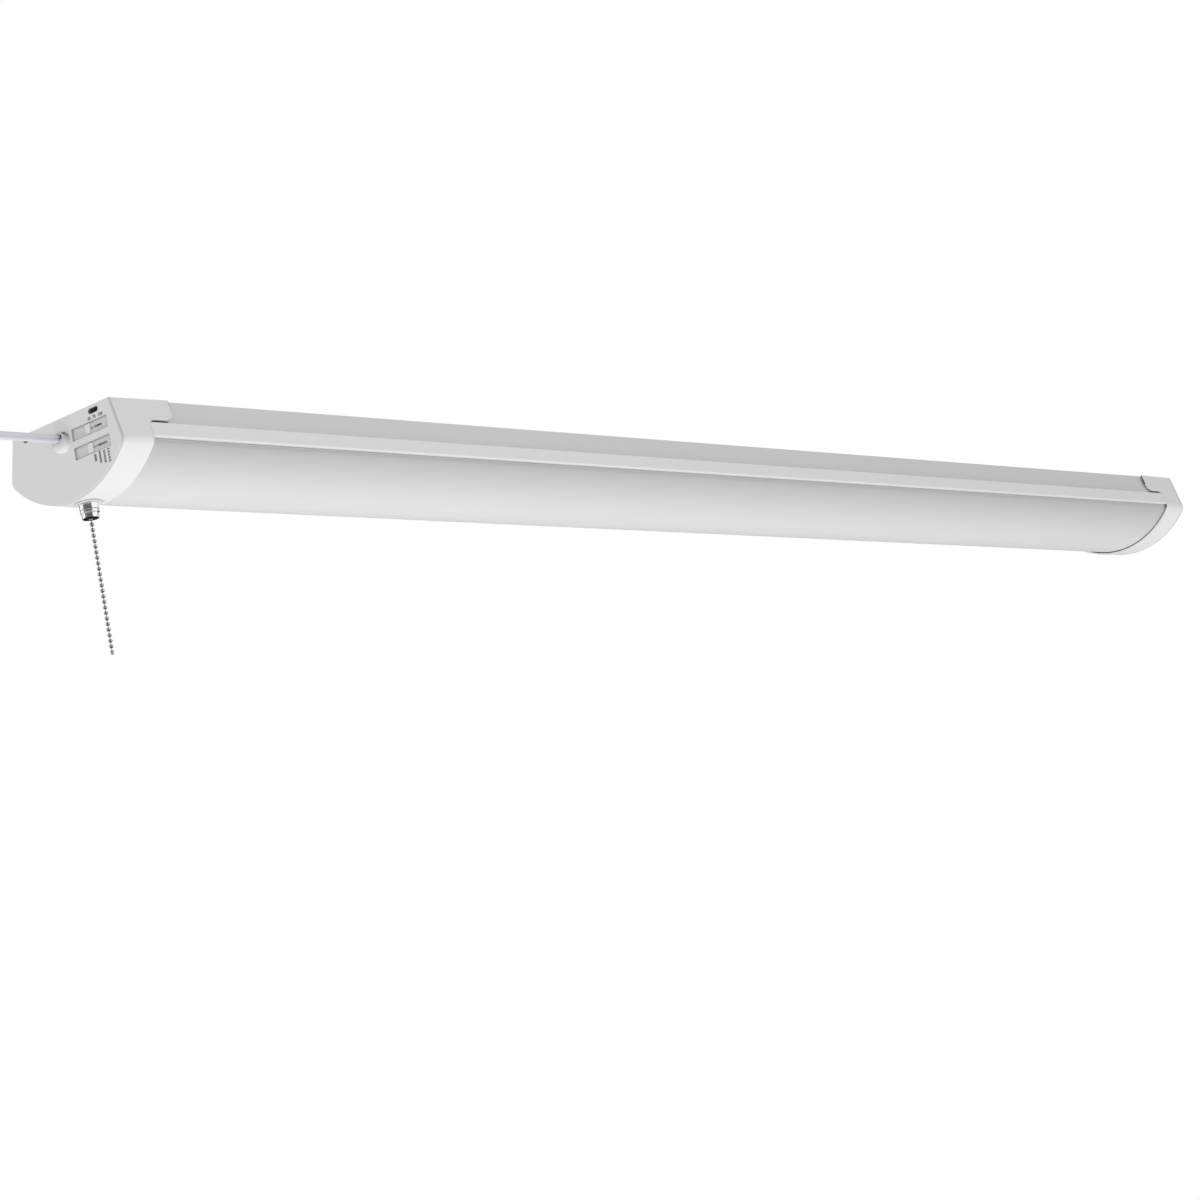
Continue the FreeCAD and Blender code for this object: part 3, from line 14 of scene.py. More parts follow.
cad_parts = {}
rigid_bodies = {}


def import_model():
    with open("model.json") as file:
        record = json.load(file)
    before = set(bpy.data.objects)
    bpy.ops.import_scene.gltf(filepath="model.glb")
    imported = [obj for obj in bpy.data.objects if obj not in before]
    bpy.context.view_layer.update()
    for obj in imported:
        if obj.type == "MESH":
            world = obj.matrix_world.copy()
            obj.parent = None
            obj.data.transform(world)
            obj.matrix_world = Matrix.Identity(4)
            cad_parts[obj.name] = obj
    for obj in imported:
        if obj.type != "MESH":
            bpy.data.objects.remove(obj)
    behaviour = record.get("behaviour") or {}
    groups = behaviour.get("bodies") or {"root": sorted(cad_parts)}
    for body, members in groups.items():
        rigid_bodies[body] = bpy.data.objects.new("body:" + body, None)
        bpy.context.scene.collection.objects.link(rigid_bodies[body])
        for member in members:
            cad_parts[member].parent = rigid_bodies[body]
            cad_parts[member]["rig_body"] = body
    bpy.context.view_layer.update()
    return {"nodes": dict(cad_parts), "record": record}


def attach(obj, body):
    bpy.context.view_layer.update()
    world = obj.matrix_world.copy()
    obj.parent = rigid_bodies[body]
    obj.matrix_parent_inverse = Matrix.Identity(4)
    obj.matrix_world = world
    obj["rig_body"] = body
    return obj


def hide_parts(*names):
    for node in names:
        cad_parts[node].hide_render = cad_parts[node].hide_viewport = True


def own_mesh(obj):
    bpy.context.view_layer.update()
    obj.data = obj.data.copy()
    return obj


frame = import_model()
MM = 0.001

# ---- sizes of what is drawn here, in millimetres ---------------------------------------
HALF_LENGTH = 600.0
END_X = -HALF_LENGTH         # the switch end's face
EAR_LENGTH = 47.8            # an end cap's reach along the lamp, at its ears
SLOT_PLACE = 32.0            # the hanging slots, each side of the middle
WINDOW_MIDDLE = -26.4        # the switch windows, along Y
WINDOW_HALF = 16.75          # half of a window's length and of its height
WINDOW_HALF_HEIGHT = 3.6
POWER_DROP = 13.9            # middles of the switch windows below the top
COLOUR_DROP = 26.1
PULL_X = -587.0              # the pull switch's upright
BEAD_RADIUS = 1.4
BEAD_PITCH = 3.55
FIRST_BEAD = -64.45
BEADS_PER_LENGTH = 6
CHAIN_LENGTHS = 4
BEAD_ENDS = 77.5             # degrees from its waist to where a bead meets its link
BEAD_ROWS = 14
WAIST_DIP = 0.02             # the waist's flat: its depth as a share of the radius,
WAIST_WIDTH = 0.25           # and its width in radians
LINK_RADIUS = 0.3
LINK_END = (60, -85)         # degrees of the rounding under a length's last link
LEAD_WIDTH = 5.6
LEAD_THICKNESS = 2.8
LEAD_GROOVE = 0.38
GROOVE_WIDTH = 0.45
LEAD_TWIST = (-20.0, 5.0)    # it turns flat to the coil over this run, from the coil's start
COIL_FIRST_RADIUS = 33.5
COIL_STEP = 1.7              # how much each half turn's radius differs from the last
COIL_CLIMB = 6.1
COIL_HALF_TURNS = 14
TAIL_RUN = 17.0
TAIL_TILT = 14.0             # degrees
LEAD_ROUTE = ((-601.6, 0, -13.4), (-638, 0, -13.4), (-670, 0, -13.4), (-715, 0, -33.9),
              (-736.5, 0, -69.4), (-736.5, 0, -100.4))
SPRING_FOOT = -49.5
SPRING_TOP = -39.8
SPRING_RADIUS = 2.65
SPRING_WIRE = 0.2            # radius
SPRING_TURNS = 4
SPRING_STEPS = 24            # points to each turn
SPRING_CLOSE = 1.02          # pitch of the close turns, in widths of the wire
SPRING_CLOSED = 0.12         # the share of its turns that lie close, at each end

SHOULDER_HALF = 54.7         # the lamp's section, as in the solids
SHOULDER_DROP = 28.6
TOP_HALF = 47.0
BOTTOM_DROP = 53.65
COVER_HALF_LENGTH = 577.5
COVER_WALL = 1.3
COVER_LEG_WALL = 1.2
COVER_INSIDE_BOW = 1.75      # how far the cover's bow runs inside the end face's bow
COVER_LEG_TOP = -22.0
BARB_BOTTOM = -25.2
BARB_HEIGHT = 0.6
BARB_LEAD_IN = 1.8
BARB_REACH = 1.1
COVER_CORNER = 2.2           # rounding of the cover's edge, along each side
COVER_BOW_POINTS = 60        # on each half of the bow
COVER_RUNS = 25              # rows of points along the cover
COVER_LEG_SHARE = 0.85       # how far down its leg the inner line starts to follow the bow

# ---- camera ----------------------------------------------------------------------------
PHOTO_LENS = 107.25
CAMERA_PLACE = (-2.0407, -1.6397, -0.5691)
CAMERA_RIGHT = (0.6635, -0.7265, -0.1787)
CAMERA_DOWN = (0.0161, 0.2527, -0.9674)
CAMERA_AHEAD = (0.748, 0.639, 0.1794)


def make_camera():
    """The camera at the photograph's place, its axes given as right, down and ahead."""
    data = bpy.data.cameras.new("camera")
    data.lens = PHOTO_LENS
    data.sensor_width = 36.0
    data.clip_end = 60.0
    camera = bpy.data.objects.new("camera", data)
    bpy.context.scene.collection.objects.link(camera)
    columns = [Vector(CAMERA_RIGHT), -Vector(CAMERA_DOWN), -Vector(CAMERA_AHEAD)]
    turn = Matrix([[column[row] for column in columns] for row in range(3)])
    turn = turn.to_quaternion().to_matrix().to_4x4()
    camera.matrix_world = Matrix.Translation(CAMERA_PLACE) @ turn
    bpy.context.scene.camera = camera


# ---- node groups -----------------------------------------------------------------------
def node_group(name, inputs, outputs):
    """An empty shader group with named (name, kind, value) inputs and outputs."""
    group = bpy.data.node_groups.new(name, "ShaderNodeTree")
    for label, kind, value in inputs:
        socket = group.interface.new_socket(label, in_out="INPUT", socket_type=kind)
        if value is not None:
            socket.default_value = value
    for label, kind in outputs:
        group.interface.new_socket(label, in_out="OUTPUT", socket_type=kind)
    entry = group.nodes.new("NodeGroupInput")
    leave = group.nodes.new("NodeGroupOutput")
    return group, entry, leave


def calculation(group, kind, operation):
    """A Math or VectorMath node of one operation."""
    node = group.nodes.new("ShaderNode" + kind)
    node.operation = operation
    return node


def end_with_mix(group, entry, leave, share, first="Colour", second="Inside"):
    """Puts out a mix of two of a group's colours, by a share from 0 to 1."""
    mix = group.nodes.new("ShaderNodeMix")
    mix.data_type = "RGBA"
    group.links.new(share, mix.inputs["Factor"])
    group.links.new(entry.outputs[first], mix.inputs["A"])
    group.links.new(entry.outputs[second], mix.inputs["B"])
    group.links.new(mix.outputs["Result"], leave.inputs["Colour"])


FLOAT, COLOUR, VECTOR = "NodeSocketFloat", "NodeSocketColor", "NodeSocketVector"
RELIEF_HEIGHT = 0.0002       # metres, of a grain or a rib at full depth


def make_surface_grain():
    """A moulded or sprayed surface: a fine noise as a bump, and a broad one that makes the
    roughness uneven."""
    group, entry, leave = node_group(
        "surface_grain",
        [("Scale", FLOAT, 900.0), ("Depth", FLOAT, 0.1), ("Roughness", FLOAT, 0.4),
         ("Spread", FLOAT, 0.05), ("Vector", VECTOR, None)],
        [("Normal", VECTOR), ("Roughness", FLOAT)])
    nodes, links = group.nodes, group.links
    fine = nodes.new("ShaderNodeTexNoise")
    fine.inputs["Detail"].default_value = 3.0
    broad = nodes.new("ShaderNodeTexNoise")
    broad.inputs["Scale"].default_value = 40.0
    broad.inputs["Detail"].default_value = 2.0
    bump = nodes.new("ShaderNodeBump")
    bump.inputs["Distance"].default_value = RELIEF_HEIGHT
    spread = calculation(group, "Math", "MULTIPLY_ADD")
    centred = calculation(group, "Math", "SUBTRACT")
    centred.inputs[1].default_value = 0.5
    for noise in (fine, broad):
        links.new(entry.outputs["Vector"], noise.inputs["Vector"])
    links.new(entry.outputs["Scale"], fine.inputs["Scale"])
    links.new(fine.outputs["Fac"], bump.inputs["Height"])
    links.new(entry.outputs["Depth"], bump.inputs["Strength"])
    links.new(broad.outputs["Fac"], centred.inputs[0])
    links.new(centred.outputs[0], spread.inputs[0])
    links.new(entry.outputs["Spread"], spread.inputs[1])
    links.new(entry.outputs["Roughness"], spread.inputs[2])
    links.new(bump.outputs["Normal"], leave.inputs["Normal"])
    links.new(spread.outputs[0], leave.inputs["Roughness"])
    return group


def make_soft_tint():
    """Slight unevenness of a colour: a broad noise mixes the colour with a second one."""
    group, entry, leave = node_group(
        "soft_tint",
        [("Colour", COLOUR, (0.8, 0.8, 0.8, 1)), ("Second", COLOUR, (0.7, 0.7, 0.7, 1)),
         ("Scale", FLOAT, 12.0), ("Amount", FLOAT, 0.3), ("Vector", VECTOR, None)],
        [("Colour", COLOUR)])
    nodes, links = group.nodes, group.links
    noise = nodes.new("ShaderNodeTexNoise")
    noise.inputs["Detail"].default_value = 4.0
    noise.inputs["Roughness"].default_value = 0.6
    share = calculation(group, "Math", "MULTIPLY")
    links.new(entry.outputs["Vector"], noise.inputs["Vector"])
    links.new(entry.outputs["Scale"], noise.inputs["Scale"])
    links.new(noise.outputs["Fac"], share.inputs[0])
    links.new(entry.outputs["Amount"], share.inputs[1])
    end_with_mix(group, entry, leave, share.outputs[0], "Colour", "Second")
    return group


def make_tone_by_height():
    """Two tones that change softly from one height to another, in metres."""
    group, entry, leave = node_group(
        "tone_by_height",
        [("Upper", COLOUR, (0.8, 0.8, 0.8, 1)), ("Lower", COLOUR, (0.8, 0.8, 0.8, 1)),
         ("From", FLOAT, 0.0), ("To", FLOAT, -0.01), ("Vector", VECTOR, None)],
        [("Colour", COLOUR)])
    nodes, links = group.nodes, group.links
    split = nodes.new("ShaderNodeSeparateXYZ")
    share = nodes.new("ShaderNodeMapRange")
    links.new(entry.outputs["Vector"], split.inputs[0])
    links.new(split.outputs["Z"], share.inputs["Value"])
    links.new(entry.outputs["From"], share.inputs["From Min"])
    links.new(entry.outputs["To"], share.inputs["From Max"])
    end_with_mix(group, entry, leave, share.outputs["Result"], "Upper", "Lower")
    return group


def make_recess_tone():
    """Another tone inside a box, with a soft edge: the distance outside the box's nearest side
    is mapped from the softness down to its negative."""
    group, entry, leave = node_group(
        "recess_tone",
        [("Colour", COLOUR, (0.8, 0.8, 0.8, 1)), ("Inside", COLOUR, (0.05, 0.05, 0.05, 1)),
         ("Middle", VECTOR, (0, 0, 0)), ("Half size", VECTOR, (0.001, 0.001, 0.001)),
         ("Softness", FLOAT, 0.0002), ("Vector", VECTOR, None)],
        [("Colour", COLOUR)])
    nodes, links = group.nodes, group.links
    away, plain, outside = [calculation(group, "VectorMath", operation)
                            for operation in ("SUBTRACT", "ABSOLUTE", "SUBTRACT")]
    split = nodes.new("ShaderNodeSeparateXYZ")
    first, second, inward = [calculation(group, "Math", operation)
                             for operation in ("MAXIMUM", "MAXIMUM", "MULTIPLY")]
    inward.inputs[1].default_value = -1.0
    share = nodes.new("ShaderNodeMapRange")
    links.new(entry.outputs["Vector"], away.inputs[0])
    links.new(entry.outputs["Middle"], away.inputs[1])
    links.new(away.outputs[0], plain.inputs[0])
    links.new(plain.outputs[0], outside.inputs[0])
    links.new(entry.outputs["Half size"], outside.inputs[1])
    links.new(outside.outputs[0], split.inputs[0])
    links.new(split.outputs["X"], first.inputs[0])
    links.new(split.outputs["Y"], first.inputs[1])
    links.new(first.outputs[0], second.inputs[0])
    links.new(split.outputs["Z"], second.inputs[1])
    links.new(entry.outputs["Softness"], inward.inputs[0])
    links.new(second.outputs[0], share.inputs["Value"])
    links.new(entry.outputs["Softness"], share.inputs["From Min"])
    links.new(inward.outputs[0], share.inputs["From Max"])
    end_with_mix(group, entry, leave, share.outputs["Result"])
    return group


def make_bore_tone():
    """Another tone nearer to an upright axis than a radius, all the way up and down."""
    group, entry, leave = node_group(
        "bore_tone",
        [("Colour", COLOUR, (0.8, 0.8, 0.8, 1)), ("Inside", COLOUR, (0.05, 0.05, 0.05, 1)),
         ("Axis", VECTOR, (0, 0, 0)), ("Radius", FLOAT, 0.005), ("Vector", VECTOR, None)],
        [("Colour", COLOUR)])
    links = group.links
    away, flat, reach = [calculation(group, "VectorMath", operation)
                         for operation in ("SUBTRACT", "MULTIPLY", "LENGTH")]
    flat.inputs[1].default_value = (1, 1, 0)
    inside = calculation(group, "Math", "LESS_THAN")
    links.new(entry.outputs["Vector"], away.inputs[0])
    links.new(entry.outputs["Axis"], away.inputs[1])
    links.new(away.outputs[0], flat.inputs[0])
    links.new(flat.outputs[0], reach.inputs[0])
    links.new(reach.outputs["Value"], inside.inputs[0])
    links.new(entry.outputs["Radius"], inside.inputs[1])
    end_with_mix(group, entry, leave, inside.outputs[0])
    return group


def make_fine_ribs():
    """Fine upright ribs of a moulded plate, as a bump laid over another normal."""
    group, entry, leave = node_group(
        "fine_ribs",
        [("Rib scale", FLOAT, 1000.0), ("Depth", FLOAT, 0.2), ("Normal", VECTOR, None),
         ("Vector", VECTOR, None)],
        [("Normal", VECTOR)])
    nodes, links = group.nodes, group.links
    wave = nodes.new("ShaderNodeTexWave")
    wave.bands_direction = "Y"
    bump = nodes.new("ShaderNodeBump")
    bump.inputs["Distance"].default_value = RELIEF_HEIGHT
    links.new(entry.outputs["Vector"], wave.inputs["Vector"])
    links.new(entry.outputs["Rib scale"], wave.inputs["Scale"])
    links.new(wave.outputs["Fac"], bump.inputs["Height"])
    links.new(entry.outputs["Depth"], bump.inputs["Strength"])
    links.new(entry.outputs["Normal"], bump.inputs["Normal"])
    links.new(bump.outputs["Normal"], leave.inputs["Normal"])
    return group


def grey(level):
    """A colour from its displayed level out of 255."""
    part = level / 255
    linear = part / 12.92 if part <= 0.04045 else ((part + 0.055) / 1.055) ** 2.4
    return (linear, linear, linear, 1)


def tinted(red, green, blue):
    """A colour from its three displayed levels out of 255."""
    return tuple(grey(level)[0] for level in (red, green, blue)) + (1,)


def grouped(material, tree, **values):
    """One shader group in a material, with its own values, read at the piece's own place."""
    nodes, links = material.node_tree.nodes, material.node_tree.links
    group = nodes.new("ShaderNodeGroup")
    group.node_tree = tree
    for label, value in values.items():
        group.inputs[label.replace("_", " ")].default_value = value
    place = nodes.get("Texture Coordinate") or nodes.new("ShaderNodeTexCoord")
    links.new(place.outputs["Object"], group.inputs["Vector"])
    return group


def in_metres(lengths):
    """Millimetres to metres, one by one."""
    return [length * MM for length in lengths]


def finish_material(name, colour, second, amount=0.3, tint_scale=12.0, grain=900.0, depth=0.08,
                    roughness=0.4, spread=0.06, metallic=0.0, lower=None, heights=(0, -10),
                    recesses=(), bore=None, ribs=0.0):
    """A finish: an uneven tint and a fine grain that feed one shader. A second tone may start
    lower down, boxes given as (middle, half size, tone, softness) and a bore given as (x, y,
    radius, tone) may have another tone, and a plate may be ribbed; sizes in millimetres."""
    material = bpy.data.materials.new(name)
    material.use_nodes = True
    links = material.node_tree.links
    principled = material.node_tree.nodes["Principled BSDF"]
    tint = grouped(material, SOFT_TINT, Colour=colour, Second=second, Scale=tint_scale,
                   Amount=amount)
    relief = grouped(material, SURFACE_GRAIN, Scale=grain, Depth=depth, Roughness=roughness,
                     Spread=spread)
    if lower is not None:
        top, bottom = in_metres(heights)
        tone = grouped(material, TONE_BY_HEIGHT, Upper=colour, Lower=lower, From=top, To=bottom)
        links.new(tone.outputs["Colour"], tint.inputs["Colour"])
    tones = [grouped(material, RECESS_TONE, Inside=inside, Softness=softness * MM,
                     Middle=in_metres(middle), Half_size=in_metres(half_size))
             for middle, half_size, inside, softness in recesses]
    if bore is not None:
        x, y, radius, inside = bore
        tones.append(grouped(material, BORE_TONE, Inside=inside, Radius=radius * MM,
                             Axis=in_metres((x, y, 0))))
    last_colour, last_normal = tint.outputs["Colour"], relief.outputs["Normal"]
    for tone in tones:
        links.new(last_colour, tone.inputs["Colour"])
        last_colour = tone.outputs["Colour"]
    if ribs:
        rib = grouped(material, FINE_RIBS, Depth=ribs)
        links.new(last_normal, rib.inputs["Normal"])
        last_normal = rib.outputs["Normal"]
    links.new(last_colour, principled.inputs["Base Color"])
    links.new(last_normal, principled.inputs["Normal"])
    links.new(relief.outputs["Roughness"], principled.inputs["Roughness"])
    principled.inputs["Metallic"].default_value = metallic
    return material


SURFACE_GRAIN = make_surface_grain()
SOFT_TINT = make_soft_tint()
TONE_BY_HEIGHT = make_tone_by_height()
RECESS_TONE = make_recess_tone()
BORE_TONE = make_bore_tone()
FINE_RIBS = make_fine_ribs()

# Tones of single places, each a box of (middle, half size, tone, softness), painted shade but the
# cover's, painted light; ACROSS is the half size of a box that takes in the whole width.
ACROSS = 90.0
# Painted light: the cover's leg in the gap under the housing's lip is painted lighter than the
# cover's top.
COVER_LIT_UNDER_LIP = ((0, 0, -26.3), (HALF_LENGTH, ACROSS, 0.9), grey(212), 0.4)
# Painted shade: the housing's lip is painted darker, to tone down its bright line.
HOUSING_LIP_SHADE = ((0, 0, -26.05), (HALF_LENGTH, ACROSS, 0.3), grey(220), 0.25)
# Painted shade: the housing's web is painted dark where it shows through the slit under each ear.
HOUSING_SLIT_SHADE = [((side * (HALF_LENGTH - 35.2), 0, -15.0), (8.6, ACROSS, 0.6), grey(80), 0.15)
                 for side in (-1, 1)]
# Painted shade: the bushing's mouth round the lead is painted dark.
BUSHING_MOUTH_SHADE = ((-602.0, -2.85, -13.05), (1.9, 1.35, 1.6), grey(48), 0.15)
# Painted shade: the notch at the bushing's rim is painted grey.
BUSHING_NOTCH_SHADE = ((-600.9, -4.95, -11.5), (1.6, 2.0, 2.0), grey(170), 0.15)
# Painted shade: a grey band round the side of the collar under the pull switch.
COLLAR_SIDE_SHADE = ((PULL_X, 0, -54.05), (9, 9, 0.25), grey(170), 0.15)
# Painted shade: a darker line of this width round each switch window.
WINDOW_SHADE_WIDTH = 0.35           # width of the line round a switch window

WHITE = dict(amount=0.25, tint_scale=6.0)
# Painted shade: every enamelled piece is painted darker above 15.6 mm down than below, darkening
# the housing's upper web over the crease.
ENAMEL = dict(colour=grey(223), second=grey(218), grain=500.0, depth=0.05, roughness=0.38,
              lower=grey(244), heights=(-15.6, -15.9), **WHITE)
NICKEL = (tinted(252, 252, 251), tinted(240, 240, 238), 0.5, 80.0, 1500.0, 0.08, 0.17, 0.05,
          1.0)
CORD_COLOURS = (tinted(230, 229, 236), tinted(221, 220, 228))

# The plain finishes: colour, second colour, how much of it and its scale; the grain's scale and
# depth; roughness, how uneven it is, and metallic. The last two may be left out.
PLAIN_FINISHES = {
    "zinc_steel": (grey(205), grey(170), 0.6, 60.0, 1200.0, 0.15, 0.3, 0.15, 1.0),
    "board_white": (grey(232), grey(224), 0.4, 30.0, 800.0, 0.1, 0.35),
    "led_yellow": (tinted(243, 226, 110), tinted(235, 205, 80), 0.5, 600.0, 900.0, 0.05, 0.2),
    "insulator_black": (grey(38), grey(52), 0.5, 20.0, 1500.0, 0.2, 0.5),
    "nylon_white": (grey(226), grey(214), 0.5, 40.0, 900.0, 0.1, 0.42),
    "board_green": (tinted(38, 104, 58), tinted(30, 84, 48), 0.6, 90.0, 700.0, 0.1, 0.35),
    "ferrite_grey": (grey(60), grey(78), 0.6, 120.0, 1400.0, 0.3, 0.6),
    "capacitor_black": (grey(34), grey(44), 0.4, 50.0, 900.0, 0.08, 0.3),
    "nickel": NICKEL,
    "spring_steel": (grey(200), grey(170), 0.5, 80.0, 1500.0, 0.1, 0.3, 0.1, 1.0),
    "cord_white": CORD_COLOURS + (0.4, 25.0, 1200.0, 0.12, 0.5),
    "tie_black": (grey(30), grey(40), 0.4, 50.0, 1200.0, 0.2, 0.5),
    "plug_white": CORD_COLOURS + (0.4, 25.0, 1200.0, 0.15, 0.5),
    "blade_brass": (tinted(214, 196, 140), tinted(196, 176, 120), 0.5, 60.0, 1500.0, 0.12, 0.28,
                    0.1, 1.0),
    "lead_black": (grey(40), grey(50), 0.4, 30.0, 1200.0, 0.1, 0.45),
    "grommet_rubber": (grey(32), grey(44), 0.5, 40.0, 1600.0, 0.2, 0.6),
}


def moulded(name, level, second_level, grain=1600.0, depth=0.12, roughness=0.46, **more):
    """A white moulding's finish, from its two grey levels."""
    return finish_material(name, grey(level), grey(second_level), grain=grain, depth=depth,
                           roughness=roughness, **more, **WHITE)


FINISHES = {
    "white_enamel": finish_material("white_enamel", **ENAMEL),
    "white_moulding": moulded("white_moulding", 238, 233),
    # Painted shade: the cover is painted darker at its top and lighter down to its bottom.
    "frosted_cover": moulded("frosted_cover", 190, 204, 2400.0, 0.2, 0.55, lower=grey(231),
                             heights=(-31, -54), recesses=(COVER_LIT_UNDER_LIP,)),
}
for finish_name, look in PLAIN_FINISHES.items():
    FINISHES[finish_name] = finish_material(finish_name, *look)


def cap_painted_shade(side):
    """Painted shade on an end cap: a fine darker line round its end face, dark at the edges of
    its ears, grey in the depth behind its hanging slots and, at the switch end, darker lines
    round the windows' edges and at the side of the collar. Side is -1 or 1 along X."""
    end = side * HALF_LENGTH
    face_edge_shade = ((end - side * 1.2, 0, -27), (0.9, ACROSS, 60), grey(205), 0.3)
    ear_edge_shade = ((end - side * (EAR_LENGTH + 0.35), 0, -7), (0.6, ACROSS, 9), grey(60), 0.12)
    slot_shade = [((end - side * 20, y, -3.9), (19.5, 5.2, 2.6), grey(150), 0.3)
                   for y in (-SLOT_PLACE, SLOT_PLACE)]
    boxes = [face_edge_shade, ear_edge_shade] + slot_shade
    if side < 0:
        window = (0.5, WINDOW_HALF + WINDOW_SHADE_WIDTH, WINDOW_HALF_HEIGHT + WINDOW_SHADE_WIDTH)
        boxes += [((end, WINDOW_MIDDLE, -drop), window, grey(178), 0.1)
                  for drop in (POWER_DROP, COLOUR_DROP)]
        boxes.append(COLLAR_SIDE_SHADE)
    return boxes


def plate_finish(name, drop):
    """A switch's body: bright white inside, its ribbed front plate a little greyer."""
    front = ((END_X + 1.1, WINDOW_MIDDLE, -drop), (0.25, 20, 6), grey(228), 0.05)
    return moulded(name, 254, 250, 1400.0, 0.15, 0.45, recesses=(front,), ribs=0.25)


THUMB_WHITE = moulded("thumb_white", 248, 243, depth=0.1, roughness=0.4)
# Painted shade: the beads and the chain's tip have a darker copy of the bell's nickel.
SHADED_BEAD_NICKEL = finish_material("shaded_bead_nickel", grey(212), grey(188), 0.5, 80.0, 1500.0, 0.05,
                              0.08, 0.03, 1.0)
SPECIAL_FINISHES = {
    "left_end_cap": moulded("left_cap_white", 238, 233, recesses=cap_painted_shade(-1)),
    "right_end_cap": moulded("right_cap_white", 238, 233, recesses=cap_painted_shade(1)),
    "housing": finish_material("housing_white", recesses=HOUSING_SLIT_SHADE + [HOUSING_LIP_SHADE],
                               **ENAMEL),
    # Painted shade on the bushing's upper part and a painted highlight on its lower rim: darker
    # above, near white below.
    "cord_bushing": moulded("bushing_white", 212, 208, depth=0.1, roughness=0.3,
                            lower=grey(255), heights=(-15, -20.5),
                            recesses=(BUSHING_MOUTH_SHADE, BUSHING_NOTCH_SHADE)),
    "power_switch_body": plate_finish("power_plate", POWER_DROP),
    "colour_switch_body": plate_finish("colour_plate", COLOUR_DROP),
    "power_slider": THUMB_WHITE,
    "colour_slider": THUMB_WHITE,
    # Painted shade: the bell's mouth is painted dark inside.
    "chain_bell": finish_material("bell_nickel", *NICKEL, bore=(PULL_X, 0, 5.2, grey(50))),
    "chain_tip": SHADED_BEAD_NICKEL,
}
PRINT = finish_material("print_grey", grey(58), grey(70), 0.5, 400.0, 2000.0, 0.05, 0.5)


# ---- pieces ----------------------------------------------------------------------------
SMOOTH_ANGLE = 40.0          # degrees, up to which a CAD piece's faces run smoothly on,
BEAD_SMOOTH_ANGLE = 50       # and those of what is drawn here
ROUND_SMOOTH_ANGLE = 60      # (spring and lead)
COVER_SMOOTH_ANGLE = 35
NORMAL_STEPS = 500           # how finely normals and distances are told apart, per unit
DISTANCE_STEPS = 20000       # and per metre
JOIN_DISTANCE = 2e-6         # metres
SLOTS = {part["node"]: part["material_slot"] for part in frame["record"]["subparts"]}


def body_of(node):
    """The body that a CAD piece moves with."""
    return frame["nodes"][node]["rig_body"]


def add_piece(name, mesh, material, body, smooth_angle=None):
    """Puts a mesh in the scene with its finish and its body; smooth up to an angle if given."""
    piece = bpy.data.objects.new(name, mesh)
    bpy.context.scene.collection.objects.link(piece)
    mesh.materials.clear()
    mesh.materials.append(material)
    if smooth_angle is not None:
        mesh.polygons.foreach_set("use_smooth", np.ones(len(mesh.polygons), dtype=bool))
        mesh.set_sharp_from_angle(angle=math.radians(smooth_angle))
    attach(piece, body)
    return piece


def even_normals(mesh, angle):
    """Corner normals that keep flats flat: each is the sum of the face normals round its vertex
    that lie within the angle of its own face, each weighed by the area of the whole flat region
    that its face belongs to (faces with one normal and one distance from the origin)."""
    count, corners = len(mesh.polygons), len(mesh.loops)
    normal, area = np.empty(count * 3), np.empty(count)
    centre, starts = np.empty(count * 3), np.empty(count, dtype=int)
    mesh.polygons.foreach_get("normal", normal)
    mesh.polygons.foreach_get("area", area)
    mesh.polygons.foreach_get("center", centre)
    mesh.polygons.foreach_get("loop_start", starts)
    normal, centre = normal.reshape(-1, 3), centre.reshape(-1, 3)
    distance = np.sum(normal * centre, axis=1)
    key = np.round(np.concatenate([normal * NORMAL_STEPS,
                                   distance[:, None] * DISTANCE_STEPS], axis=1))
    region = np.unique(key, axis=0, return_inverse=True)[1].ravel()
    weight = np.bincount(region, area)[region]
    vertex = np.empty(corners, dtype=int)
    mesh.loops.foreach_get("vertex_index", vertex)
    face = np.repeat(np.arange(count), np.diff(np.append(starts, corners)))
    order = np.argsort(vertex, kind="stable")
    sorted_vertex = vertex[order]
    first = np.searchsorted(sorted_vertex, vertex, "left")
    fan = np.searchsorted(sorted_vertex, vertex, "right") - first
    total = np.zeros((corners, 3))
    limit = math.cos(math.radians(angle))
    for step in range(int(fan.max())):
        here = step < fan
        other = face[order[np.where(here, first + step, 0)]]
        near = here & (np.sum(normal[other] * normal[face], axis=1) > limit)
        total += np.where(near, weight[other], 0)[:, None] * normal[other]
    mesh.normals_split_custom_set(unit(total).tolist())


def dressed(node):
    """The CAD piece as one joined skin with smooth curves, flat flats and crisp edges."""
    joined = bmesh.new()
    joined.from_mesh(frame["nodes"][node].data)
    bmesh.ops.remove_doubles(joined, verts=joined.verts, dist=JOIN_DISTANCE)
    mesh = bpy.data.meshes.new(node + "_skin")
    joined.to_mesh(mesh)
    joined.free()
    slot = SLOTS[node]
    finish = SPECIAL_FINISHES.get(node, FINISHES[slot])
    piece = add_piece(node + "_skin", mesh, finish, body_of(node), SMOOTH_ANGLE)
    even_normals(mesh, SMOOTH_ANGLE)
    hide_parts(node)
    return piece


def grid_mesh(name, points, around=True, capped=True, more=()):
    """A mesh over a (rows, columns, 3) grid in millimetres; columns close on themselves if
    around, and the first and last rows are closed with one face each if capped; more faces
    are given by their points' numbers."""
    rows, columns = points.shape[:2]
    index = np.arange(rows * columns).reshape(rows, columns)
    if around:
        wrapped = np.concatenate([index, index[:, :1]], axis=1)
    else:
        wrapped = index
    quads = np.stack([wrapped[:-1, :-1], wrapped[:-1, 1:], wrapped[1:, 1:], wrapped[1:, :-1]],
                     axis=-1).reshape(-1, 4)
    faces = quads.tolist() + list(more)
    if capped and around:
        faces.append(index[0, ::-1].tolist())
        faces.append(index[-1].tolist())
    mesh = bpy.data.meshes.new(name)
    mesh.from_pydata((points.reshape(-1, 3) * MM).tolist(), [], faces)
    mesh.update()
    return mesh


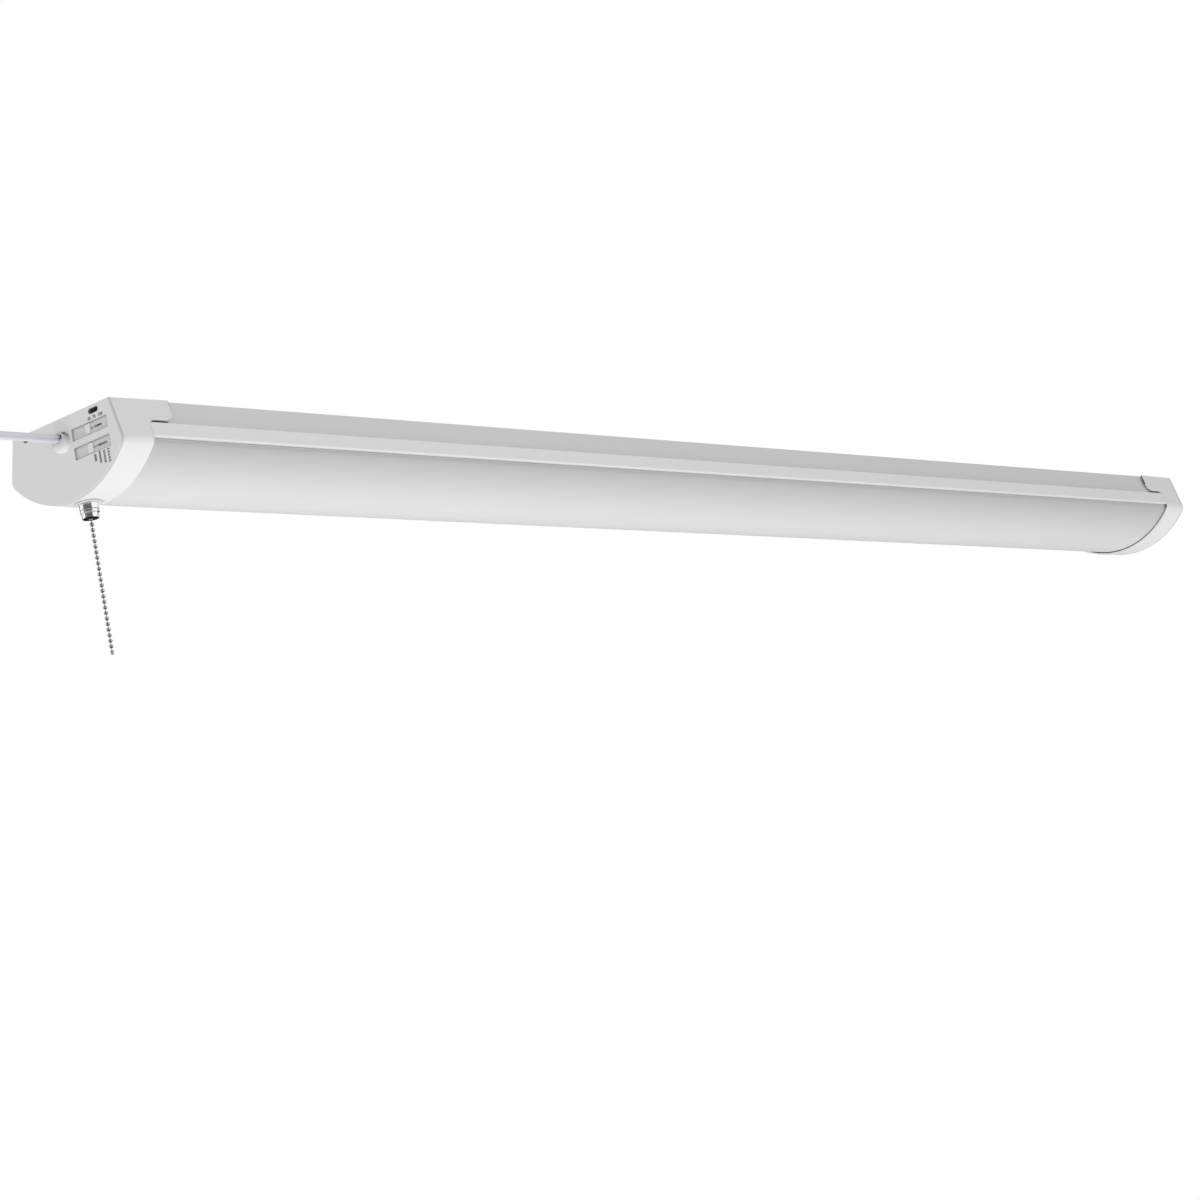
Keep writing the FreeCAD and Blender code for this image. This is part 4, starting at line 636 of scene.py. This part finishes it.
# ---- bead chain ------------------------------------------------------------------------
def bead_profile(first_z, link_above):
    """Radius and height down one length of chain: each bead is a ball with a slight flat at its
    waist, and the link between two beads is a thin wire. The first length has no link above it,
    so its top is closed nearly to a point."""
    angle = np.radians(np.linspace(BEAD_ENDS, -BEAD_ENDS, BEAD_ROWS))
    waist = 1 - WAIST_DIP * np.exp(-(angle / WAIST_WIDTH) ** 2)
    ball_r = BEAD_RADIUS * np.cos(angle) * waist
    ball_z = BEAD_RADIUS * np.sin(angle)
    centres = first_z - BEAD_PITCH * np.arange(BEADS_PER_LENGTH)
    z = (centres[:, None] + ball_z[None, :]).ravel()
    r = np.tile(ball_r, BEADS_PER_LENGTH)
    low = centres[-1] - BEAD_PITCH / 2
    link_end = np.radians(np.linspace(*LINK_END, 7))
    z = np.concatenate([z, low + LINK_RADIUS * np.sin(link_end)])
    r = np.concatenate([r, LINK_RADIUS * np.cos(link_end)])
    if not link_above:
        z = np.concatenate([[first_z + BEAD_RADIUS * 0.999], z])
        r = np.concatenate([[BEAD_RADIUS * 0.05], r])
    return r, z


def turned_grid(radius, height, centre_x, sides=24):
    """A surface of revolution: each (radius, height) turned round the upright at centre_x."""
    turn = np.linspace(0, 2 * np.pi, sides, endpoint=False)
    x = centre_x + radius[:, None] * np.cos(turn)[None, :]
    y = radius[:, None] * np.sin(-turn)[None, :]
    z = np.repeat(height[:, None], sides, axis=1)
    return np.stack([x, y, z], axis=-1)


def make_chain():
    """The chain's lengths, each turned from its profile."""
    for index in range(CHAIN_LENGTHS):
        node = "bead_chain_%d" % (index + 1)
        first = FIRST_BEAD - index * BEADS_PER_LENGTH * BEAD_PITCH
        radius, height = bead_profile(first, index > 0)
        mesh = grid_mesh(node + "_beads", turned_grid(radius, height, PULL_X))
        piece = add_piece(node + "_beads", mesh, SHADED_BEAD_NICKEL, body_of(node),
                          BEAD_SMOOTH_ANGLE)
        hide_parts(node)


# ---- return spring ---------------------------------------------------------------------
def make_spring():
    """A coil spring: a circle of wire carried along a helix, with close turns at both ends."""
    t = np.linspace(0, 1, SPRING_TURNS * SPRING_STEPS)
    turn = 2 * np.pi * SPRING_TURNS * t
    low, high = SPRING_FOOT + SPRING_WIRE, SPRING_TOP - SPRING_WIRE
    end_rise = 2 * SPRING_WIRE * SPRING_CLOSE * SPRING_TURNS * SPRING_CLOSED
    z = np.interp(t, [0, SPRING_CLOSED, 1 - SPRING_CLOSED, 1],
                  [low, low + end_rise, high - end_rise, high])
    out = np.stack([np.cos(turn), np.sin(turn), np.zeros_like(turn)], axis=-1)
    line = out * SPRING_RADIUS + np.stack([np.full_like(z, PULL_X), np.zeros_like(z), z], -1)
    ring = np.linspace(0, 2 * np.pi, 10, endpoint=False)
    up = np.array([0, 0, 1.0])
    wire = SPRING_WIRE * (out[:, None, :] * np.cos(ring)[None, :, None]
                          + up[None, None, :] * np.sin(ring)[None, :, None])
    points = (line[:, None, :] + wire)[:, ::-1]
    mesh = grid_mesh("pull_spring_wire", points)
    piece = add_piece("pull_spring_wire", mesh, FINISHES["spring_steel"],
                      body_of("pull_spring"), ROUND_SMOOTH_ANGLE)
    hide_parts("pull_spring")
    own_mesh(piece)


# ---- frosted cover ---------------------------------------------------------------------
def bow_line(radius, centre, corner_z, count):
    """Points of a bow from its right corner down and round to the bottom, by equal angles."""
    top = math.acos((centre - corner_z) / radius)
    turn = np.linspace(top, 0, count)
    return np.stack([radius * np.sin(turn), centre - radius * np.cos(turn)], -1)


def cover_edge():
    """The right half of the cover's section: outer and inner lines with equal counts, from the
    snap leg's top, over the barb and a rounded corner, down to the middle of the bow."""
    rise = BOTTOM_DROP - SHOULDER_DROP
    bow = (rise ** 2 + SHOULDER_HALF ** 2) / (2 * rise)
    centre = bow - BOTTOM_DROP
    radius = bow - COVER_INSIDE_BOW
    slope = (SHOULDER_HALF - TOP_HALF) / SHOULDER_DROP
    outer_bow = bow_line(radius, centre, -SHOULDER_DROP, COVER_BOW_POINTS)
    corner = outer_bow[0]

    def leg(z):
        return corner[0] - slope * (z - corner[1])
    barb_top = BARB_BOTTOM + BARB_HEIGHT
    leg_z = np.array([COVER_LEG_TOP, barb_top + BARB_LEAD_IN, barb_top, BARB_BOTTOM,
                      BARB_BOTTOM, corner[1] + COVER_CORNER])
    leg_out = np.array([0, 0, BARB_REACH + slope * BARB_HEIGHT, BARB_REACH, 0, 0])
    legs = np.stack([leg(leg_z) + leg_out, leg_z], -1)
    run = np.linalg.norm(outer_bow - corner, axis=1)
    after = outer_bow[run > COVER_CORNER]
    share = np.linspace(0, 1, 9)[1:, None]
    rounded = (legs[-1] * (1 - share) ** 2 + 2 * corner * share * (1 - share)
               + after[0] * share ** 2)
    outer = np.concatenate([legs, rounded, after[1:]])
    inner_bow = bow_line(radius - COVER_WALL, centre, corner[1] + COVER_LEG_WALL / 2,
                         len(outer) - len(legs))
    way = (leg_z - COVER_LEG_TOP) / (leg_z[-1] - COVER_LEG_TOP) * COVER_LEG_SHARE
    way = way[:, None]
    inner_top = np.array([leg(COVER_LEG_TOP) - COVER_LEG_WALL, COVER_LEG_TOP])
    inner = np.concatenate([inner_top * (1 - way) + inner_bow[0] * way, inner_bow])
    return outer, inner


def make_cover():
    """The cover: its wall's closed outline carried straight along the lamp, ends closed by one
    strip of faces across the wall."""
    outer, inner = cover_edge()
    mirror = np.array([-1, 1])
    outer = np.concatenate([outer, (outer * mirror)[-2::-1]])
    inner = np.concatenate([inner, (inner * mirror)[-2::-1]])
    loop = np.concatenate([outer, inner[::-1]])
    along = np.linspace(-COVER_HALF_LENGTH, COVER_HALF_LENGTH, COVER_RUNS)
    points = np.empty((len(along), len(loop), 3))
    points[:, :, 0] = along[:, None]
    points[:, :, 1:] = loop[None]
    count, total = len(outer), len(loop)
    k = np.arange(count - 1)
    strip = np.stack([k, k + 1, total - 2 - k, total - 1 - k], axis=-1)
    last = (len(along) - 1) * total
    mesh = grid_mesh("frosted_cover", points, capped=False,
                     more=strip.tolist() + (strip[:, ::-1] + last).tolist())
    piece = add_piece("frosted_cover", mesh, FINISHES["frosted_cover"], body_of("diffuser"),
                      COVER_SMOOTH_ANGLE)
    even_normals(mesh, COVER_SMOOTH_ANGLE)
    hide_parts("diffuser")


# ---- mains lead ------------------------------------------------------------------------
COIL_START = np.array(LEAD_ROUTE[-1], float)
COIL_INNER = COIL_FIRST_RADIUS - (COIL_HALF_TURNS // 2 - 1) * COIL_STEP
COIL_TURN = COIL_CLIMB / COIL_INNER / 2
COIL_AXIS = np.array([math.cos(COIL_TURN), -math.sin(COIL_TURN), 0])


def coil_points():
    """Control points of the wound lead: in over one layer by equal steps, a climb, and out over
    the second; eight points to each half turn, set out so that the curve has the radius."""
    per_half = 8
    climb_at = COIL_HALF_TURNS // 2 - 1
    half = np.arange(COIL_HALF_TURNS)
    radius = COIL_FIRST_RADIUS - COIL_STEP * (climb_at - np.abs(half - climb_at))
    way = np.where(half % 2 == 0, 1, -1)
    start_y = np.concatenate([[0], np.cumsum(2 * radius * way)])[:-1]
    angle = (np.arange(per_half) + 0.5) * np.pi / per_half
    out = radius[:, None] / math.cos(np.pi / per_half / 2)
    y = (start_y + radius * way)[:, None] - way[:, None] * out * np.cos(angle)[None, :]
    z = -way[:, None] * out * np.sin(angle)[None, :]
    share = np.where(half < climb_at, 0.0, 1.0)[:, None] * np.ones(per_half)
    share[climb_at] = (1 - np.cos(angle)) / 2
    x = -COIL_CLIMB * share
    flat = np.stack([x.ravel(), y.ravel(), z.ravel() - LEAD_WIDTH], axis=-1)
    end_y = start_y[-1] + 2 * radius[-1] * way[-1]
    last = np.array([[-COIL_CLIMB, end_y, -2 * LEAD_WIDTH]])
    return COIL_START + hung(flat), COIL_START + hung(last)[0]


def hung(points):
    """Points turned about the upright by the coil's turn, as the wound lead hangs."""
    cosine, sine = math.cos(-COIL_TURN), math.sin(-COIL_TURN)
    x = points[:, 0] * cosine - points[:, 1] * sine
    y = points[:, 0] * sine + points[:, 1] * cosine
    return np.stack([x, y, points[:, 2]], axis=-1)


def lead_controls():
    """The lead's listed route, the coil's turns from their formula, and the tail."""
    turns, coil_end = coil_points()
    tilt = math.radians(TAIL_TILT)
    corner = coil_end + np.array([0, 0, -TAIL_RUN])
    tail = corner + TAIL_RUN * np.array([0, -math.sin(tilt), -math.cos(tilt)])
    return np.concatenate([np.array(LEAD_ROUTE, float), turns, [coil_end, corner, tail]])


def smooth_line(name, controls):
    """The NURBS line through a route's control points, read back as points."""
    curve = bpy.data.curves.new(name, "CURVE")
    curve.dimensions = "3D"
    curve.resolution_u = 10
    spline = curve.splines.new("NURBS")
    spline.points.add(len(controls) - 1)
    flat = np.concatenate([controls * MM, np.ones((len(controls), 1))], axis=1)
    spline.points.foreach_set("co", flat.ravel())
    spline.order_u = 3
    spline.use_endpoint_u = True
    holder = bpy.data.objects.new(name, curve)
    mesh = bpy.data.meshes.new_from_object(holder)
    points = np.empty(len(mesh.vertices) * 3)
    mesh.vertices.foreach_get("co", points)
    bpy.data.objects.remove(holder)
    bpy.data.meshes.remove(mesh)
    bpy.data.curves.remove(curve)
    return points.reshape(-1, 3) / MM


def twin_section():
    """The flat lead's outline, (wide, thin): two round ends, and a groove down each flat."""
    radius = LEAD_THICKNESS / 2
    half = LEAD_WIDTH / 2 - radius
    round_end = np.radians(np.linspace(-90, 90, 9))
    flat = np.linspace(half, -half, 9)[1:-1]
    dip = radius - LEAD_GROOVE * np.exp(-(flat / GROOVE_WIDTH) ** 2)
    right = np.stack([half + radius * np.cos(round_end), radius * np.sin(round_end)], -1)
    top = np.stack([flat, dip], -1)
    return np.concatenate([right, top, -right, -top])


def unit(vectors):
    """Vectors of length one along the given ones."""
    return vectors / np.linalg.norm(vectors, axis=-1, keepdims=True)


def make_lead():
    """The lead: its section carried along the smooth line, its wide way in the plane of the
    first bend, then along the coil's axis."""
    line = smooth_line("lead_line", lead_controls())
    along = unit(np.gradient(line, axis=0))
    distance = np.concatenate([[0], np.cumsum(np.linalg.norm(np.diff(line, axis=0), axis=1))])
    bend_way = np.cross(np.array([0, 1.0, 0]), along)
    before_coil = distance[np.argmin(np.linalg.norm(line - COIL_START, axis=1))]
    share = np.interp(distance - before_coil, LEAD_TWIST, [0, 1])[:, None]
    wide = bend_way * (1 - share) - COIL_AXIS[None, :] * share
    wide = unit(wide - along * np.sum(wide * along, axis=1, keepdims=True))
    thin = np.cross(along, wide)
    section = twin_section()
    points = (line[:, None, :] + wide[:, None, :] * section[None, :, :1]
              + thin[:, None, :] * section[None, :, 1:])
    mesh = grid_mesh("mains_lead", points[:, ::-1])
    lead = add_piece("mains_lead", mesh, FINISHES["cord_white"], body_of("power_cord"),
                     ROUND_SMOOTH_ANGLE)
    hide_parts("power_cord", "cord_coil", "cord_tail")
    with_pieces = [dressed(node) for node in ("coil_tie", "plug_body", "plug_blades")]


# ---- printed figures -------------------------------------------------------------------
CAPITAL_SHARE = 0.7          # a capital's height as a share of the letters' size
FIGURE_WEIGHT = 0.00013      # metres, added to each stroke's edge
FIGURE_PROUD = 0.02          # millimetres, out of the end face
LEVEL_HEIGHT = 1.8           # of a capital, as are all these in millimetres
LEVEL_PLACE = -8.2
LEVEL_SPACING = 1.15
LEVEL_MARKS = (("50", -27.4), ("75", -32.2), ("100", -38.0))                # words, y
SHADE_HEIGHT = 1.9
SHADE_MARKS = (("3000", -27.7, -33.3, 0.85), ("4000K", -32.0, -34.0, 1.1),  # words, y, z,
               ("5000K", -36.2, -34.9, 1.2), ("6500K", -40.3, -35.1, 1.35))  # spacing


def printed(name, words, height, y, z, spacing=1.0, turned_down=False):
    """Printed figures on the end face, read from outside; height is a capital's height."""
    curve = bpy.data.curves.new(name, "FONT")
    curve.body = words
    curve.align_x = "CENTER"
    curve.align_y = "CENTER"
    curve.size = height * MM / CAPITAL_SHARE
    curve.offset = FIGURE_WEIGHT
    curve.space_character = spacing
    curve.resolution_u = 2
    holder = bpy.data.objects.new(name, curve)
    mesh = bpy.data.meshes.new_from_object(holder)
    bpy.data.objects.remove(holder)
    face = Matrix(((0, 0, -1, (END_X - FIGURE_PROUD) * MM), (-1, 0, 0, y * MM),
                   (0, 1, 0, z * MM), (0, 0, 0, 1)))
    spin = Matrix.Rotation(math.radians(-90 if turned_down else 0), 4, "Z")
    mesh.transform(face @ spin)
    add_piece(name, mesh, PRINT, "fixture")


def make_print():
    """The levels over the upper window, and the shades of white under the lower one."""
    for words, y in LEVEL_MARKS:
        printed("level_" + words, words, LEVEL_HEIGHT, y, LEVEL_PLACE, LEVEL_SPACING)
    for words, y, z, spacing in SHADE_MARKS:
        printed("shade_" + words, words, SHADE_HEIGHT, y, z, spacing, True)


# ---- light and backdrop ----------------------------------------------------------------
FLOOR_HEIGHT = -1.3          # metres, as are all lengths in this section
FLOOR_HALF_SIZE = 12.0
WORLD_LIGHT = 0.71
BELOW_LAMP = ((0.2, -0.2, -1.2), (0.2, 0, 0), 2.2, 10.0)    # place, target, size, watts
END_LAMP = ((-0.85, -0.05, -1.0), (-0.6, 0, -0.03), 0.6, 2.6)
CARD_DISTANCE = 3.2
FRONT_CARD = ((155, 262), (-0.6, 4.2), 108)    # degrees round the chain, heights, grey level
BACK_CARD = ((-25, 92), (-2.2, 1.8), 70)
LOW_CARD_RADIUS = 1.6
LOW_CARD_RISE = 0.02         # over the floor
LOW_CARD_LEVEL = 40


def white_where_seen(world, level):
    """A strength of 1 where the camera, a reflection or a clear piece sees the world, and a
    plain lower level for the light that it gives."""
    tree = world.node_tree
    nodes, links = tree.nodes, tree.links
    paths = nodes.new("ShaderNodeLightPath")
    first, second = [calculation(tree, "Math", "MAXIMUM") for _ in range(2)]
    strength = nodes.new("ShaderNodeMapRange")
    strength.inputs["To Min"].default_value = level
    strength.inputs["To Max"].default_value = 1.0
    links.new(paths.outputs["Is Camera Ray"], first.inputs[0])
    links.new(paths.outputs["Is Glossy Ray"], first.inputs[1])
    links.new(first.outputs[0], second.inputs[0])
    links.new(paths.outputs["Is Transmission Ray"], second.inputs[1])
    links.new(second.outputs[0], strength.inputs["Value"])
    return strength.outputs["Result"]


def make_world(level):
    """A white room whose light is weaker than its picture."""
    world = bpy.data.worlds.new("studio")
    bpy.context.scene.world = world
    world.use_nodes = True
    background = world.node_tree.nodes["Background"]
    background.inputs["Color"].default_value = (1, 1, 1, 1)
    strength = white_where_seen(world, level)
    world.node_tree.links.new(strength, background.inputs["Strength"])


def stage_piece(name, mesh, level, roughness):
    """A plain grey piece of the studio."""
    piece = bpy.data.objects.new(name, mesh)
    bpy.context.scene.collection.objects.link(piece)
    material = bpy.data.materials.new(name)
    material.use_nodes = True
    shader = material.node_tree.nodes["Principled BSDF"]
    shader.inputs["Base Color"].default_value = grey(level)
    shader.inputs["Roughness"].default_value = roughness
    mesh.materials.append(material)
    return piece


def make_floor():
    """A plain pale floor well below the hanging light."""
    corners = [(x * FLOOR_HALF_SIZE, y * FLOOR_HALF_SIZE, FLOOR_HEIGHT)
               for x, y in ((-1, -1), (1, -1), (1, 1), (-1, 1))]
    mesh = bpy.data.meshes.new("floor")
    mesh.from_pydata(corners, [], [(0, 1, 2, 3)])
    stage_piece("floor", mesh, 243, 0.7)


def area_light(name, place, target, size, power):
    """A soft round lamp that bright metal doesn't show."""
    data = bpy.data.lights.new(name, "AREA")
    data.shape = "DISK"
    data.size = size
    data.energy = power
    light = bpy.data.objects.new(name, data)
    bpy.context.scene.collection.objects.link(light)
    light.visible_glossy = False
    light.location = place
    aim = Vector(target) - Vector(place)
    light.rotation_euler = aim.to_track_quat("-Z", "Y").to_euler()


def make_lights():
    """One lamp under the middle, and one under the switch end."""
    area_light("below", *BELOW_LAMP)
    area_light("end", *END_LAMP)


def glossy_card(name, mesh, level):
    """A plain card that only shows in bright metal."""
    card = stage_piece(name, mesh, level, 0.9)
    card.visible_camera = card.visible_diffuse = card.visible_shadow = False
    card.visible_transmission = False


def bent_card(name, turns, heights, level):
    """A card bent round the room: a circle's arc about the chain, carried straight up."""
    turn = np.radians(np.linspace(*turns, 24))
    points = np.empty((2, len(turn), 3))
    points[:, :, 0] = PULL_X * MM + CARD_DISTANCE * np.cos(turn)
    points[:, :, 1] = CARD_DISTANCE * np.sin(turn)
    points[:, :, 2] = np.array(heights)[:, None]
    glossy_card(name, grid_mesh(name, points / MM, around=False), level)


def make_cards():
    """A bent card on each side of the chain, and a round one on the floor under it."""
    bent_card("front_card", *FRONT_CARD)
    bent_card("back_card", *BACK_CARD)
    turn = np.radians(np.arange(0, 360, 10))
    ring = np.stack([PULL_X * MM + LOW_CARD_RADIUS * np.cos(turn), LOW_CARD_RADIUS * np.sin(turn),
                     np.full_like(turn, FLOOR_HEIGHT + LOW_CARD_RISE)], -1)
    disc = bpy.data.meshes.new("low_card")
    disc.from_pydata(ring.tolist(), [], [list(range(len(turn)))])
    glossy_card("low_card", disc, LOW_CARD_LEVEL)


# ---- build -----------------------------------------------------------------------------
make_camera()
make_lead()
make_chain()
make_spring()
make_cover()
drawn_here = {"diffuser", "power_cord", "cord_coil", "cord_tail", "coil_tie", "plug_body",
              "plug_blades", "pull_spring", "bead_chain_1", "bead_chain_2", "bead_chain_3",
              "bead_chain_4"}
for node in sorted(frame["nodes"]):
    if node not in drawn_here:
        dressed(node)
make_print()
make_world(WORLD_LIGHT)
make_floor()
make_lights()
make_cards()

bpy.context.scene.view_settings.view_transform = "Standard"
